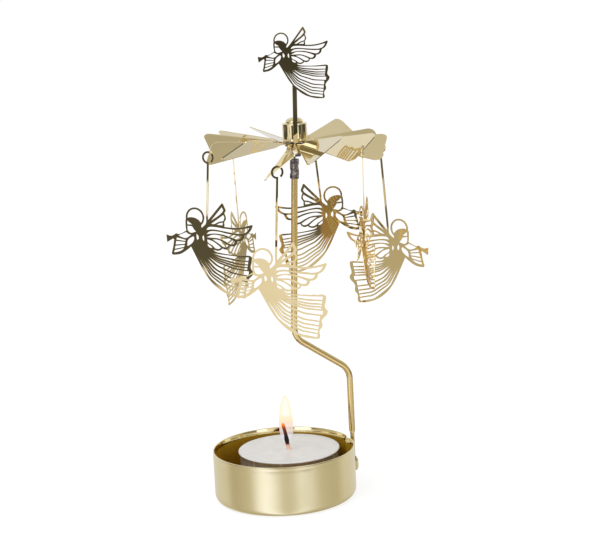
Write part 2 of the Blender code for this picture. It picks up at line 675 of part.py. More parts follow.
def make_hub(parts, materials):
    """Hub, dome, bearing and collar, all turned about the rotor's axis in its frame."""
    sheet = DISC_THICKNESS / 2
    top = HUB_HEIGHT
    low = sheet + TOUCH_GAP
    roof = top - HUB_ROOF
    edge = DISC_THICKNESS
    profile = [(0.0, top), (HUB_RADIUS - edge, top), (HUB_RADIUS, top - edge), (HUB_RADIUS, low + HUB_SHOULDER)]
    profile += arc((HUB_RADIUS - HUB_SHOULDER, low + HUB_SHOULDER), HUB_SHOULDER, 0.0, -math.pi / 2)[1:]
    profile += [(HUB_BORE, low), (HUB_BORE, roof), (0.0, roof)]
    hub = turned("rotor_hub", profile, parts, materials["polished"], steps=HUB_STEPS)

    base = top + TOUCH_GAP
    profile = []
    for i in range(DOME_STEPS + 1):
        turn = math.pi / 2 * i / DOME_STEPS
        profile.append((DOME_RADIUS * math.sin(turn), base + edge + (DOME_HEIGHT - edge) * math.cos(turn)))
    profile += [(DOME_RADIUS, base), (0.0, base)]
    dome = turned("hub_dome", profile, parts, materials["polished"], steps=HUB_STEPS)

    bearing_top = roof - TOUCH_GAP
    profile = [
        (0.0, bearing_top), (BEARING_RADIUS, bearing_top), (BEARING_RADIUS, bearing_top - BEARING_HEIGHT),
        (BEARING_BORE, bearing_top - BEARING_HEIGHT), (BEARING_BORE, bearing_top - BEARING_ROOF),
        (0.0, bearing_top - BEARING_ROOF),
    ]
    bearing = turned("pivot_bearing", profile, parts, materials["steel"])

    spigot = DISC_BORE - BORE_GAP
    flange_top = -sheet - TOUCH_GAP
    nose = flange_top - COLLAR_HEIGHT
    profile = [
        (COLLAR_BORE, SPIGOT_RISE), (spigot, SPIGOT_RISE), (spigot, flange_top),
        (COLLAR_RADIUS - edge, flange_top), (COLLAR_RADIUS, flange_top - edge),
        (COLLAR_RADIUS, flange_top - COLLAR_FLANGE + edge), (COLLAR_RADIUS - edge, flange_top - COLLAR_FLANGE),
        (COLLAR_NECK, flange_top - 2 * COLLAR_FLANGE), (COLLAR_NOSE, nose + edge), (COLLAR_NOSE - edge, nose),
        (COLLAR_BORE, nose),
    ]
    collar = turned("rotor_collar", profile, parts, materials["brass"], closed=True, steps=HUB_STEPS)
    for obj in (hub, dome, bearing, collar):
        obj.matrix_world = rotor_frame()


def figure_point(share, scale=1.0):
    """Place of a figure share, from the stem joint, in the plate's plane."""
    x = (share[0] - JOINT_SHARE[0]) * FIGURE_SPAN_X * scale
    z = (share[1] - JOINT_SHARE[1]) * FIGURE_SPAN_Z * scale
    return (x * math.cos(FIGURE_TURN) + z * math.sin(FIGURE_TURN),
            z * math.cos(FIGURE_TURN) - x * math.sin(FIGURE_TURN))


def halo_arc(radius_share, start, end, scale):
    centre = (HALO_CENTRE_SHARE[0] * FIGURE_SPAN_X, HALO_CENTRE_SHARE[1] * FIGURE_SPAN_Z)
    points = arc(centre, radius_share * FIGURE_SPAN_X, start, end, HALO_STEPS)
    return [figure_point((x / FIGURE_SPAN_X, z / FIGURE_SPAN_Z), scale) for x, z in points]


def robe_slots(scale):
    """Long slots of the robe, between ribs that fan out from the body to the hem."""
    slots = []
    ribs = ROBE_HEM_RIB_SHARES
    stations = len(ROBE_UPPER_SHARES)
    for number in range(len(ribs) - 1):
        sides = ([], [])
        for i in range(stations):
            upper = ROBE_UPPER_SHARES[i]
            lower = ROBE_LOWER_SHARES[i]
            along = i / (stations - 1)
            rib = RIB_HALF_START_SHARE + (RIB_HALF_HEM_SHARE - RIB_HALF_START_SHARE) * along
            first = ribs[number] + (rib if number else 0.0)
            last = ribs[number + 1] - (rib if number < len(ribs) - 2 else 0.0)
            reach = ROBE_HEM_REACH_SHARES[number] if i == stations - 1 else 0.0
            for side, share in zip(sides, (first, last)):
                spot = tuple(a + (b - a) * share for a, b in zip(upper, lower))
                side.append(figure_point((spot[0] + reach, spot[1]), scale))
        slots.append(sides[0] + sides[1][::-1])
    return slots


def figure_right(scale):
    """Outline from the stem's right side round the wings and the robe to the hem's foot."""
    shares = UPPER_WING_SHARES + MAIN_WING_SHARES + ROBE_TOP_SHARES + HEM_SHARES
    return [figure_point(share, scale) for share in shares]


def figure_left(scale):
    """Outline from the sleeve round the trumpet, the face and the halo to the shoulder."""
    points = [figure_point(share, scale) for share in SLEEVE_SHARES + TRUMPET_SHARES + FACE_SHARES]
    points += halo_arc(HALO_OUTER_SHARE, HALO_START, HALO_END, scale)
    return points + [figure_point(share, scale) for share in SHOULDER_SHARES]


def figure_openings(scale):
    openings = [halo_arc(HALO_INNER_SHARE, HALO_INNER_START, HALO_INNER_END, scale)]
    openings[0] += [figure_point(share, scale) for share in HAIR_TOP_SHARES]
    groups = FACE_OPENING_SHARES + ARM_OPENING_SHARES + SLEEVE_OPENING_SHARES + WING_OPENING_SHARES
    for shares in groups:
        openings.append([figure_point(share, scale) for share in shares])
    return openings + robe_slots(scale)


def charm_outlines(stem):
    """Outline and openings of a charm, from its ring's centre, which is also its swing axis."""
    half = STEM_WIDTH / 2
    inner = RING_OUTER - RING_WIRE
    foot_left = (STEM_LEFT_SHARE_Z - JOINT_SHARE[1]) * FIGURE_SPAN_Z
    foot_right = (STEM_RIGHT_SHARE_Z - JOINT_SHARE[1]) * FIGURE_SPAN_Z
    start = -math.pi / 2 - math.asin(half / RING_OUTER)
    root = -math.pi / 2 + math.asin(half / inner)
    gap = RING_GAP_START - 2 * math.pi
    outline = [(-half, foot_left - stem)]
    levels = [-RING_OUTER - RING_WIRE - (stem - 2 * RING_OUTER) * share for share in STEM_LEVEL_SHARES]
    outline += [(-half, level) for level in reversed(levels)]
    outline += arc((0.0, 0.0), RING_OUTER, start, gap, RING_STEPS)
    outline += arc((0.0, 0.0), inner, gap, root, RING_STEPS)
    outline += [(half, level) for level in levels]
    outline.append((half, foot_right - stem))
    outline += [(x, z - stem) for x, z in figure_right(1.0)]
    outline += [(x, z - stem) for x, z in [figure_point(share) for share in ROBE_UNDER_SHARES]]
    outline += [(x, z - stem) for x, z in figure_left(1.0)]
    return [outline] + [[(x, z - stem) for x, z in opening] for opening in figure_openings(1.0)]


def height_at(points, x):
    """Height of a polyline that runs towards lower x, at one x."""
    for (x1, z1), (x2, z2) in zip(points, points[1:]):
        if x2 <= x <= x1:
            return z1 + (z2 - z1) * (x1 - x) / (x1 - x2)


def top_outlines():
    """Outline and openings of the top figure, from its strip's foot."""
    scale = TOP_FIGURE_SHARE
    half = STRIP_WIDTH / 2
    under = [figure_point(share, scale) for share in ROBE_UNDER_SHARES]
    centre = STRIP_OFFSET * scale
    rise = STRIP_LENGTH - height_at(under, centre)
    outline = figure_right(scale) + under[:STRIP_AFTER]
    for side in (half, -half):
        corners = [(centre + side, height_at(under, centre + side)), (centre + side, -rise)]
        outline += corners if side > 0.0 else corners[::-1]
    outline += under[STRIP_AFTER:] + figure_left(scale)
    outline.append((-STEM_WIDTH / 2 * scale, (STEM_LEFT_SHARE_Z - JOINT_SHARE[1]) * FIGURE_SPAN_Z * scale))
    loops = [outline] + figure_openings(scale)
    return [[(x - centre, z + rise) for x, z in loop] for loop in loops]


def balance(loops):
    """Centroid of an outline less its openings."""
    area = moment_x = moment_z = 0.0
    for number, loop in enumerate(loops):
        part = part_x = part_z = 0.0
        for (x1, z1), (x2, z2) in zip(loop, loop[1:] + loop[:1]):
            cross = x1 * z2 - x2 * z1
            part += cross / 2
            part_x += (x1 + x2) * cross / 6
            part_z += (z1 + z2) * cross / 6
        sign = math.copysign(1.0, part) * (1.0 if number == 0 else -1.0)
        area += sign * part
        moment_x += sign * part_x
        moment_z += sign * part_z
    return moment_x / area, moment_z / area


def plate(name, loops, parts, material):
    """Flat plate from a filled 2D curve: the first loop is the outline, the others are openings."""
    curve = bpy.data.curves.new(name, "CURVE")
    curve.dimensions = "2D"
    curve.fill_mode = "BOTH"
    curve.extrude = PLATE_THICKNESS / 2
    for loop in loops:
        spline = curve.splines.new("POLY")
        spline.points.add(len(loop) - 1)
        for point, (x, z) in zip(spline.points, loop):
            point.co = (x, z, 0.0, 1.0)
        spline.use_cyclic_u = True
    return settle(link_object(name, curve, parts, material))


def plate_frame(azimuth):
    """Axes of a plate whose trumpet points to an azimuth: local X away from it, local Y up."""
    away = polar(1.0, azimuth + math.pi)
    upward = Vector((0.0, 0.0, 1.0))
    return Matrix((away, upward, away.cross(upward))).transposed()


def ring_centre(number, azimuth):
    """Centre of a hook ring that passes through its vane's hole and over the vane's outer edge."""
    along, _, square = vane_axes(number, VANE_REACH)
    ring_axis = plate_frame(azimuth).col[2]
    trace = square.cross(ring_axis).normalized()
    if trace.dot(along) < 0.0:
        trace.negate()
    drop = trace.cross(ring_axis).normalized()
    if drop.z > 0.0:
        drop.negate()
    half_chord = math.sqrt((RING_OUTER - RING_WIRE / 2) ** 2 - RING_SEAT_DROP ** 2)
    hole = vane_point(number, VANE_REACH - HOOK_HOLE_EDGE, 0.0)
    return rotor_frame() @ (hole + trace * half_chord + drop * RING_SEAT_DROP)


def twist_ring(charm, stem, angle):
    """Turn the ring about the stem's own axis, and spread the turn along the stem."""
    start = -RING_OUTER - RING_WIRE
    for vertex in charm.data.vertices:
        share = smooth_step((vertex.co.y + stem - RING_OUTER) / (start + stem - RING_OUTER))
        vertex.co = Matrix.Rotation(angle * share, 3, "Y") @ vertex.co


def make_charms(parts, material):
    """Charms, each with its origin at its ring's centre, hanging with its weight under that centre."""
    for name, number, ring_degrees, degrees, long_stem in CHARMS:
        azimuth = math.radians(degrees)
        ring_azimuth = math.radians(ring_degrees)
        stem = LONG_STEM if long_stem else SHORT_STEM
        loops = charm_outlines(stem)
        charm = plate(name, loops, parts, material)
        centre_x, centre_z = balance(loops)
        hang = math.atan2(centre_x, -centre_z)
        twist_ring(charm, stem, ring_azimuth - azimuth)
        place = plate_frame(azimuth).to_4x4()
        place.translation = ring_centre(number, ring_azimuth)
        charm.matrix_world = place @ Matrix.Rotation(-hang, 4, "Z")


def make_top_figure(parts, material):
    figure = plate("top_angel", top_outlines(), parts, material)
    turn = plate_frame(math.pi + TOP_FIGURE_YAW)
    face = HUB_RADIUS + TOUCH_GAP + PLATE_THICKNESS / 2
    foot = turn.col[2] * face - turn.col[0] * STRIP_SIDE
    place = turn.to_4x4()
    place.translation = foot + Vector((0.0, 0.0, DISC_THICKNESS / 2 + TOUCH_GAP))
    figure.matrix_world = rotor_frame() @ place @ Matrix.Rotation(-TOP_FIGURE_LEAN, 4, "Z")


def build():
    clear_scene()
    parts = new_collection("candle_carousel")
    cutters = new_collection("cutters")
    materials = {
        "brass": principled("brass_plate", (0.76, 0.62, 0.34), 0.30, 1.0),
        "polished": principled("polished_brass", (0.78, 0.64, 0.34), 0.10, 1.0),
        "steel": principled("bright_steel", (0.55, 0.54, 0.52), 0.25, 1.0),
        "aluminium": principled("aluminium_foil", (0.70, 0.70, 0.70), 0.35, 1.0),
        "wax": principled("white_wax", (0.88, 0.87, 0.84), 0.45, 0.0),
        "wick": principled("burnt_cotton", (0.05, 0.04, 0.03), 0.90, 0.0),
    }
    make_cup(parts, cutters, materials["brass"])
    make_post(parts, materials["brass"])
    make_ferrule(parts, materials["steel"])
    make_needle(parts, materials["steel"])
    make_tealight(parts, materials)
    make_vane_rotor(parts, cutters, materials["brass"])
    make_hub(parts, materials)
    make_top_figure(parts, materials["brass"])
    make_charms(parts, materials["brass"])


build()
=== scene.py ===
"""Candle carousel, dressed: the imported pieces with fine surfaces, the flame, the light and the camera."""

import math

import bmesh
import bpy
from mathutils import Matrix, Vector, noise


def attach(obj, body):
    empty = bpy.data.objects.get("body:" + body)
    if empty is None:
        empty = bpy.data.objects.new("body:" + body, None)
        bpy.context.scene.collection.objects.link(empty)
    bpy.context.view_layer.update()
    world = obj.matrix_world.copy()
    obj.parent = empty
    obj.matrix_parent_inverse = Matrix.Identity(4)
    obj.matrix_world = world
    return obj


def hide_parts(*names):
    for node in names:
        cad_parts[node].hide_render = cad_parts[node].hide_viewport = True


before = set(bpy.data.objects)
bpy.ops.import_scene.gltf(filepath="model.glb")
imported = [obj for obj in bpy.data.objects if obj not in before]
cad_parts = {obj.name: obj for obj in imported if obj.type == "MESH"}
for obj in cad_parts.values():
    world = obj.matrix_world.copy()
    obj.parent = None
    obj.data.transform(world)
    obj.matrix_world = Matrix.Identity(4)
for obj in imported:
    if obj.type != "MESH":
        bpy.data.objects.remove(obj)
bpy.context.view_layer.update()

# Shared with the solids, in metres
TEALIGHT_RADIUS = 0.0190
CUP_RADIUS = 0.0264
CUP_HEIGHT = 0.0188
CUP_WALL = 0.0005
CUP_CORNER = 0.0026
LOOP_AZIMUTH = math.radians(18.0)
LOOP_BOTTOM = 0.0066
LOOP_HEIGHT = 0.0045
WIRE_RADIUS = 0.00117
POST_LEAN = math.radians(3.0)
POST_LOW_BEND_Z = 0.0451
POST_HIGH_BEND_Z = 0.0602
POST_BEND_RADIUS = 0.0075
TONGUE_THICKNESS = 0.0013
TONGUE_WIDTH = 0.0032
TONGUE_BOTTOM = 0.0058
TONGUE_TOP = 0.0203
TONGUE_TAPER = 0.0010
FERRULE_RADIUS = 0.00168
FERRULE_LENGTH = 0.0073
FERRULE_ROOM = 0.00065
FERRULE_SOCKET = 0.0034
TEALIGHT = Vector((0.0019, 0.0046, 0.0008))
TEALIGHT_HEIGHT = 0.0158
WICK_RADIUS = 0.00075
WICK_ABOVE_WAX = 0.0105
WICK_LEAN = 0.0019
FLAME_RADIUS = 0.00265
FLAME_LEAN = 0.00060
AXIS_X = 0.0100
DISC_Z = 0.1319
DISC_THICKNESS = 0.0003
DISC_BORE = 0.0032
DISC_FLAT_RADIUS = 0.0053
VANE_COUNT = 12
VANE_PHASE = math.radians(18.0)
VANE_SLIT = 0.0004
VANE_NECK_END = 0.0090
VANE_REACH = 0.0325
VANE_CORNER = 0.0030
HOOK_HOLE_RADIUS = 0.00072
HOOK_HOLE_EDGE = 0.00110
# Droop, pitch and yaw of each vane, in degrees
VANE_BENDS = (
    (6.0, 37.0, 0.0), (-1.0, 37.0, 0.0), (3.0, 37.0, 2.0), (0.0, 30.0, 2.5),
    (1.2, 36.0, 1.5), (0.0, 37.0, 0.0), (3.0, 36.0, 0.0), (-2.0, 28.0, 0.0),
    (10.6, 38.0, 1.8), (0.0, 34.0, 1.0), (1.0, 31.0, 0.0), (5.3, 29.0, 0.0),
)
HUB_RADIUS = 0.0045
HUB_HEIGHT = 0.0073
HUB_ROOF = 0.0009
BEARING_ROOF = 0.0008
DOME_RADIUS = 0.00325
DOME_HEIGHT = 0.0017
COLLAR_RADIUS = 0.0039
COLLAR_FLANGE = 0.0009
COLLAR_HEIGHT = 0.0046
COLLAR_NOSE = 0.0018
COLLAR_BORE = 0.00125
PLATE_THICKNESS = 0.0003
RING_OUTER = 0.0023
RING_WIRE = 0.0006
RING_STROKE = 0.00072
RING_GAP_START = math.radians(-52.0)
STEM_WIDTH = 0.00075
LONG_STEM = 0.0313
SHORT_STEM = 0.0231
FIGURE_SPAN_X = 0.03375
FIGURE_SPAN_Z = 0.03310
TOP_FIGURE_SHARE = 0.753
TOP_FIGURE_YAW = math.radians(11.5)
TOP_FIGURE_LEAN = math.radians(1.8)
STRIP_LENGTH = 0.0198
STRIP_WIDTH = 0.0016
STRIP_OFFSET = 0.00137
STRIP_SIDE = 0.0009
FIGURE_TURN = math.radians(1.7)
RING_SEAT_DROP = 0.0005
TOUCH_GAP = 0.0003
NEEDLE_GAP = 0.00022
# Body, its vane, the azimuths of its ring and of its plate in degrees, and whether its stem is long
CHARMS = (
    ("charm_right", 0, 328.0, 328.0, True),
    ("charm_back", 2, 20.0, 5.0, False),
    ("charm_back_left", 4, 80.0, 69.0, True),
    ("charm_left", 6, 158.0, 158.0, False),
    ("charm_front", 8, 200.0, 171.0, True),
    ("charm_front_right", 10, 259.0, 256.0, False),
)

# Figure outline, as shares of FIGURE_SPAN_X and FIGURE_SPAN_Z from the figure's lower left corner,
# seen from the side where the trumpet points left; it runs clockwise from the stem.
JOINT_SHARE = (0.468, 0.790)
SHOULDER_SHARES = ((0.404, 0.728), (0.409, 0.713), (0.432, 0.736))
STEM_LEFT_SHARE_Z = 0.768
STEM_RIGHT_SHARE_Z = 0.806
UPPER_WING_SHARES = (
    (0.628, 1.010), (0.642, 1.008), (0.664, 0.968), (0.678, 0.936), (0.664, 0.906), (0.680, 0.873),
    (0.685, 0.843), (0.667, 0.803), (0.672, 0.778), (0.670, 0.758),
)
MAIN_WING_SHARES = (
    (0.742, 0.758), (0.822, 0.766), (0.902, 0.786), (0.982, 0.818), (0.994, 0.808), (0.982, 0.768),
    (0.947, 0.718), (0.910, 0.693), (0.902, 0.658), (0.872, 0.626), (0.832, 0.616), (0.820, 0.578),
    (0.787, 0.556), (0.745, 0.556), (0.727, 0.526), (0.692, 0.510), (0.664, 0.516), (0.637, 0.493),
    (0.597, 0.483), (0.557, 0.493),
)
ROBE_TOP_SHARES = ((0.577, 0.475), (0.642, 0.465), (0.792, 0.463), (0.902, 0.471), (0.987, 0.475))
HEM_SHARES = (
    (1.004, 0.461), (1.002, 0.408), (0.994, 0.353), (1.004, 0.330), (1.025, 0.308), (1.022, 0.273),
    (0.987, 0.228), (0.970, 0.196), (0.979, 0.158), (0.977, 0.128), (0.954, 0.096), (0.954, 0.058),
    (0.962, 0.023), (0.947, 0.000),
)
ROBE_UNDER_SHARES = (
    (0.842, 0.000), (0.742, 0.020), (0.642, 0.063), (0.542, 0.138), (0.452, 0.243), (0.372, 0.368),
    (0.297, 0.490),
)
STRIP_AFTER = 3
SLEEVE_SHARES = (
    (0.242, 0.438), (0.172, 0.390), (0.087, 0.370), (0.072, 0.386), (0.087, 0.468), (0.094, 0.546),
)
TRUMPET_SHARES = (
    (0.080, 0.551), (0.014, 0.503), (0.000, 0.588), (0.052, 0.580), (0.087, 0.593), (0.114, 0.615),
    (0.142, 0.610),
)
FACE_SHARES = ((0.232, 0.660), (0.223, 0.705), (0.219, 0.758), (0.221, 0.790))
HALO_CENTRE_SHARE = (0.327, 0.818)
HALO_OUTER_SHARE = 0.108
HALO_INNER_SHARE = 0.0875
HALO_START = math.radians(194.0)
HALO_END = math.radians(-42.0)
HALO_INNER_START = math.radians(190.0)
HALO_INNER_END = math.radians(-33.0)

# Openings in the figure, as shares like the outline
HAIR_TOP_SHARES = ((0.392, 0.775), (0.367, 0.797), (0.332, 0.812), (0.287, 0.816), (0.250, 0.808))
FACE_OPENING_SHARES = (
    ((0.240, 0.775), (0.262, 0.757), (0.298, 0.737), (0.240, 0.731)),
    ((0.240, 0.715), (0.298, 0.716), (0.318, 0.690), (0.345, 0.664), (0.318, 0.652), (0.285, 0.643),
     (0.252, 0.664)),
)
ARM_OPENING_SHARES = (
    ((0.144, 0.596), (0.232, 0.643), (0.262, 0.626), (0.290, 0.622), (0.232, 0.578), (0.182, 0.582)),
    ((0.257, 0.558), (0.317, 0.608), (0.328, 0.592), (0.320, 0.553), (0.287, 0.513), (0.250, 0.490)),
    ((0.354, 0.640), (0.377, 0.618), (0.382, 0.590), (0.364, 0.573), (0.354, 0.603)),
    ((0.434, 0.636), (0.444, 0.608), (0.446, 0.570), (0.430, 0.586), (0.424, 0.613)),
)
SLEEVE_OPENING_SHARES = (
    ((0.124, 0.570), (0.226, 0.557), (0.228, 0.544), (0.120, 0.546)),
    ((0.118, 0.530), (0.226, 0.532), (0.222, 0.511), (0.113, 0.490)),
    ((0.111, 0.474), (0.220, 0.498), (0.216, 0.477), (0.106, 0.440)),
    ((0.103, 0.424), (0.212, 0.463), (0.197, 0.443), (0.152, 0.416), (0.099, 0.400)),
)
WING_OPENING_SHARES = (
    ((0.467, 0.698), (0.487, 0.728), (0.542, 0.740), (0.672, 0.738), (0.812, 0.744), (0.957, 0.780),
     (0.932, 0.738), (0.887, 0.710), (0.792, 0.702), (0.672, 0.708), (0.542, 0.713)),
    ((0.470, 0.652), (0.502, 0.683), (0.602, 0.696), (0.702, 0.686), (0.802, 0.682), (0.880, 0.684),
     (0.862, 0.650), (0.827, 0.638), (0.762, 0.650), (0.662, 0.670), (0.562, 0.670)),
    ((0.474, 0.618), (0.542, 0.653), (0.652, 0.653), (0.742, 0.633), (0.800, 0.610), (0.787, 0.582),
     (0.752, 0.576), (0.682, 0.603), (0.602, 0.623), (0.532, 0.620)),
    ((0.542, 0.603), (0.612, 0.605), (0.672, 0.586), (0.728, 0.558), (0.710, 0.538), (0.672, 0.536),
     (0.612, 0.568)),
    ((0.477, 0.594), (0.542, 0.583), (0.602, 0.553), (0.645, 0.523), (0.622, 0.508), (0.582, 0.508),
     (0.542, 0.536), (0.487, 0.566)),
    ((0.487, 0.548), (0.532, 0.522), (0.545, 0.508), (0.517, 0.508), (0.490, 0.528)),
    ((0.516, 0.806), (0.631, 0.968), (0.650, 0.936), (0.637, 0.911)),
    ((0.520, 0.772), (0.654, 0.885), (0.666, 0.858), (0.656, 0.820), (0.602, 0.803), (0.548, 0.772)),
    ((0.582, 0.770), (0.612, 0.788), (0.652, 0.801), (0.650, 0.770)),
)

# Robe slots run between these two curves, from the body to the hem
ROBE_UPPER_SHARES = ((0.532, 0.455), (0.665, 0.449), (0.842, 0.450), (0.968, 0.458))
ROBE_LOWER_SHARES = ((0.386, 0.378), (0.535, 0.170), (0.745, 0.040), (0.930, 0.016))
ROBE_HEM_RIB_SHARES = (0.0, 0.10, 0.19, 0.26, 0.33, 0.46, 0.61, 0.72, 0.82, 0.91, 1.0)
ROBE_HEM_REACH_SHARES = (0.0, 0.0, 0.0, 0.0, 0.022, 0.0, 0.0, 0.0, 0.0, 0.0)
RIB_HALF_START_SHARE = 0.036
RIB_HALF_HEM_SHARE = 0.015
SLOT_START_SHARES = (0.08, 0.16, 0.21, 0.15, 0.08, 0.09, 0.12, 0.05, 0.06, 0.0)
SLOT_TAPER_SHARE = 0.30
SLOT_STEPS = 10

# Details that only the dressed pieces have, in metres
WALL_ROWS = 14
BEAD_DROP = 0.0013
BEAD_DEPTH = 0.00005
FLARE = 0.00038
FLARE_HEIGHT = 0.0026
DENT_DEPTH = 0.0012
DENT_WIDTH = 0.0017
DENT_RISE = 0.0025
WINDOW_DEPTH = 0.006
STRAP_HALF = 0.0042
STRAP_ROOM = 0.0004
STRAP_SHEET = 0.0004
STRAP_TUCK = 0.00035
CRIMPS = ((0.62, 0.0), (0.36, 0.9))
CRIMP_DEPTH = 0.00030
KNURL_DEPTH = 0.00007
FOIL_WALL = TEALIGHT_RADIUS - 0.0004
FOIL_FOOT = FOIL_WALL - 0.0004
FOIL_BEAD = 0.00035
FOIL_RIPPLE = 0.00010
WAX_TOP = TEALIGHT_HEIGHT - 0.0007
WAX_RADIUS = TEALIGHT_RADIUS - 0.0007
FLAME_FOOT = TEALIGHT.z + WAX_TOP + 0.0015
FLAME_TIP = TEALIGHT.z + WAX_TOP + 0.0212
VANE_CELLS = 12
EDGE = 0.0004
HUB_FOOT = 0.0007
TIP_LENGTH = 0.0016
TIP_RADIUS = COLLAR_NOSE + 0.00012
TIP_GROOVE = 0.00008
QUARTER = math.pi / 2


def rgb(red, green, blue):
    """Linear colour of an 8-bit screen colour."""
    def linear(value):
        value /= 255.0
        return value / 12.92 if value <= 0.04045 else ((value + 0.055) / 1.055) ** 2.4
    return (linear(red), linear(green), linear(blue))


# Materials

class Graph:
    """A node tree, with shorthands that add a node and give its output."""

    def __init__(self, owner, emptied=True):
        owner.use_nodes = True
        self.nodes, self.links = owner.node_tree.nodes, owner.node_tree.links
        if emptied:
            self.nodes.clear()

    def feed(self, node, inputs):
        """Set a node's inputs or link outputs to them; None leaves an input as it is."""
        for socket, value in inputs.items():
            if isinstance(value, bpy.types.NodeSocket):
                self.links.new(value, node.inputs[socket])
            elif value is not None:
                node.inputs[socket].default_value = value

    def add(self, kind, output=0, inputs=None, **settings):
        node = self.nodes.new("ShaderNode" + kind)
        for name, value in settings.items():
            setattr(node, name, value)
        self.feed(node, inputs or {})
        return node.outputs[output]

    def math(self, operation, *values):
        return self.add("Math", 0, dict(enumerate(values)), operation=operation)

    def parts(self, vector):
        """The x, y and z parts of a vector."""
        node = self.nodes.new("ShaderNodeSeparateXYZ")
        self.feed(node, {0: vector})
        return list(node.outputs)

    def spread(self, source, low=0.0, high=1.0, start=0.3, end=0.7, kind="LINEAR"):
        """A value between start and end, mapped to one between low and high."""
        inputs = {"Value": source, "From Min": start, "From Max": end, "To Min": low, "To Max": high}
        return self.add("MapRange", "Result", inputs, interpolation_type=kind)

    def ramp(self, source, stops):
        node = self.nodes.new("ShaderNodeValToRGB")
        elements = node.color_ramp.elements
        while len(elements) < len(stops):
            elements.new(0.5)
        for element, (position, colour) in zip(elements, stops):
            element.position = position
            element.color = (*colour, 1.0)
        self.feed(node, {"Fac": source})
        return node.outputs["Color"]

    def blend(self, factor, first, second):
        return self.add("Mix", 0, {0: factor, 2: first, 3: second})

    def blend_colours(self, factor, first, second, kind="MIX"):
        inputs = {"Factor": factor, "A": first, "B": second}
        return self.add("Mix", "Result", inputs, data_type="RGBA", blend_type=kind)

    def blend_shaders(self, factor, first, second):
        return self.add("MixShader", 0, {0: factor, 1: first, 2: second})

    def surface(self, kind, shader):
        self.feed(self.nodes.new("ShaderNodeOutput" + kind), {"Surface": shader})


class Material(Graph):
    """A Principled material whose textures lie on the piece itself."""

    def __init__(self, name, colour, roughness, metallic=1.0):
        self.material = bpy.data.materials.new(name)
        super().__init__(self.material, False)
        self.shader = self.nodes["Principled BSDF"]
        self.feed(self.shader, {"Base Color": (*colour, 1.0), "Roughness": roughness, "Metallic": metallic})
        self.place = self.add("TexCoord", "Object")

    def noise(self, scale, detail=3.0, rough=0.5, stretch=None):
        place = self.place
        if stretch is not None:
            place = self.add("Mapping", "Vector", {"Vector": place, "Scale": stretch})
        inputs = {"Vector": place, "Scale": scale, "Detail": detail, "Roughness": rough}
        return self.add("TexNoise", "Fac", inputs)

    def bump(self, source, distance):
        return self.add("Bump", "Normal", {"Height": source, "Distance": distance, "Strength": 1.0})

    def finish(self, colour, roughness=None, normal=None):
        self.feed(self.shader, {"Base Color": colour, "Roughness": roughness, "Normal": normal})
        return self.material


# Plated sheets: name, colour, shade, roughness and waviness
SHEETS = {
    "sheet": ("plated_sheet", (0.82, 0.665, 0.37), (0.79, 0.635, 0.33), 0.018, 0.00001),
    "vane": ("plated_vane", (0.82, 0.71, 0.45), (0.79, 0.68, 0.42), 0.035, 0.00003),
    "cup": ("satin_cup", (0.81, 0.70, 0.42), (0.79, 0.68, 0.39), 0.22, 0.00001),
    "lip": ("bright_lip", (0.80, 0.68, 0.38), (0.77, 0.64, 0.33), 0.07, 0.00001),
    # The dark gold is also laid on the disc's flat under the hub, as painted shade
    "collar": ("dark_gold", (0.44, 0.29, 0.10), (0.36, 0.23, 0.08), 0.26, 0.00003),
    "hub": ("mirror_hub", (0.84, 0.72, 0.44), (0.82, 0.69, 0.40), 0.03, 0.00002),
}
# Worn metals, and the post with painted shade towards its outline: name, colour, roughness and metallic;
# texture; tones; gloss and depth of the relief
WORN_AND_EDGE_SHADED = {
    # The post's tones go by the angle of view: painted shade, darkest where the wire turns away at its
    # outline
    "post": (("drawn_wire", (0.82, 0.61, 0.26), 0.16, 1.0), (900.0, 3.0, 0.6, (1.0, 1.0, 0.03)),
             ((0.0, (0.80, 0.60, 0.26)), (0.35, (0.74, 0.55, 0.23)), (0.75, (0.36, 0.27, 0.10)),
              (1.0, (0.24, 0.18, 0.06))), (0.12, 0.22), 0.00001),
    "steel": (("crimped_steel", (0.62, 0.61, 0.59), 0.15, 1.0), (700.0, 2.0, 0.5),
              ((0.3, (0.09, 0.08, 0.075)), (0.55, (0.24, 0.21, 0.19)), (0.7, (0.60, 0.56, 0.52))),
              (0.10, 0.24), 0.0002),
    "foil": (("tealight_foil", (0.50, 0.50, 0.49), 0.22, 0.55), (520.0, 3.0, 0.6, (1.0, 1.0, 0.35)),
             ((0.35, (0.38, 0.38, 0.36)), (0.60, (0.48, 0.48, 0.46)), (0.75, (0.86, 0.85, 0.82))),
             (0.16, 0.30), 0.00025),
}
WICK_TONES = (
    (0.0, rgb(236, 214, 200)), (0.19, rgb(232, 190, 165)), (0.235, rgb(150, 50, 20)), (0.27, rgb(6, 4, 4)),
    (0.52, rgb(8, 4, 3)), (0.62, rgb(70, 28, 12)), (0.82, rgb(112, 50, 24)), (0.92, rgb(190, 84, 32)),
    (1.0, rgb(235, 130, 40)),
)
WICK_GLOW = (
    (0.0, (0, 0, 0)), (0.55, (0, 0, 0)), (0.7, rgb(30, 10, 4)), (0.85, rgb(90, 34, 10)),
    (1.0, rgb(225, 115, 35)),
)


def plated_sheet(name, colour, shade, roughness, wave):
    """Plated sheet: slow drift of tone and gloss, and a slight waviness."""
    metal = Material(name, colour, roughness)
    tone = metal.ramp(metal.noise(70.0, 2.0), ((0.3, colour), (0.7, shade)))
    gloss = metal.spread(metal.noise(110.0, 2.0), roughness * 0.9, roughness * 1.1)
    return metal.finish(tone, gloss, metal.bump(metal.noise(45.0, 1.0), wave))


def worn_and_edge_shaded_metal(basis, grain, tones, gloss, depth, by_angle=False):
    """Metal whose tone, gloss and relief follow one texture; or whose tone follows the angle of view instead,
    as painted shade that darkens it towards its outline.
    """
    metal = Material(*basis)
    texture = metal.noise(*grain)
    value = metal.add("LayerWeight", "Facing", {"Blend": 0.5}) if by_angle else texture
    return metal.finish(metal.ramp(value, tones), metal.spread(texture, *gloss), metal.bump(texture, depth))


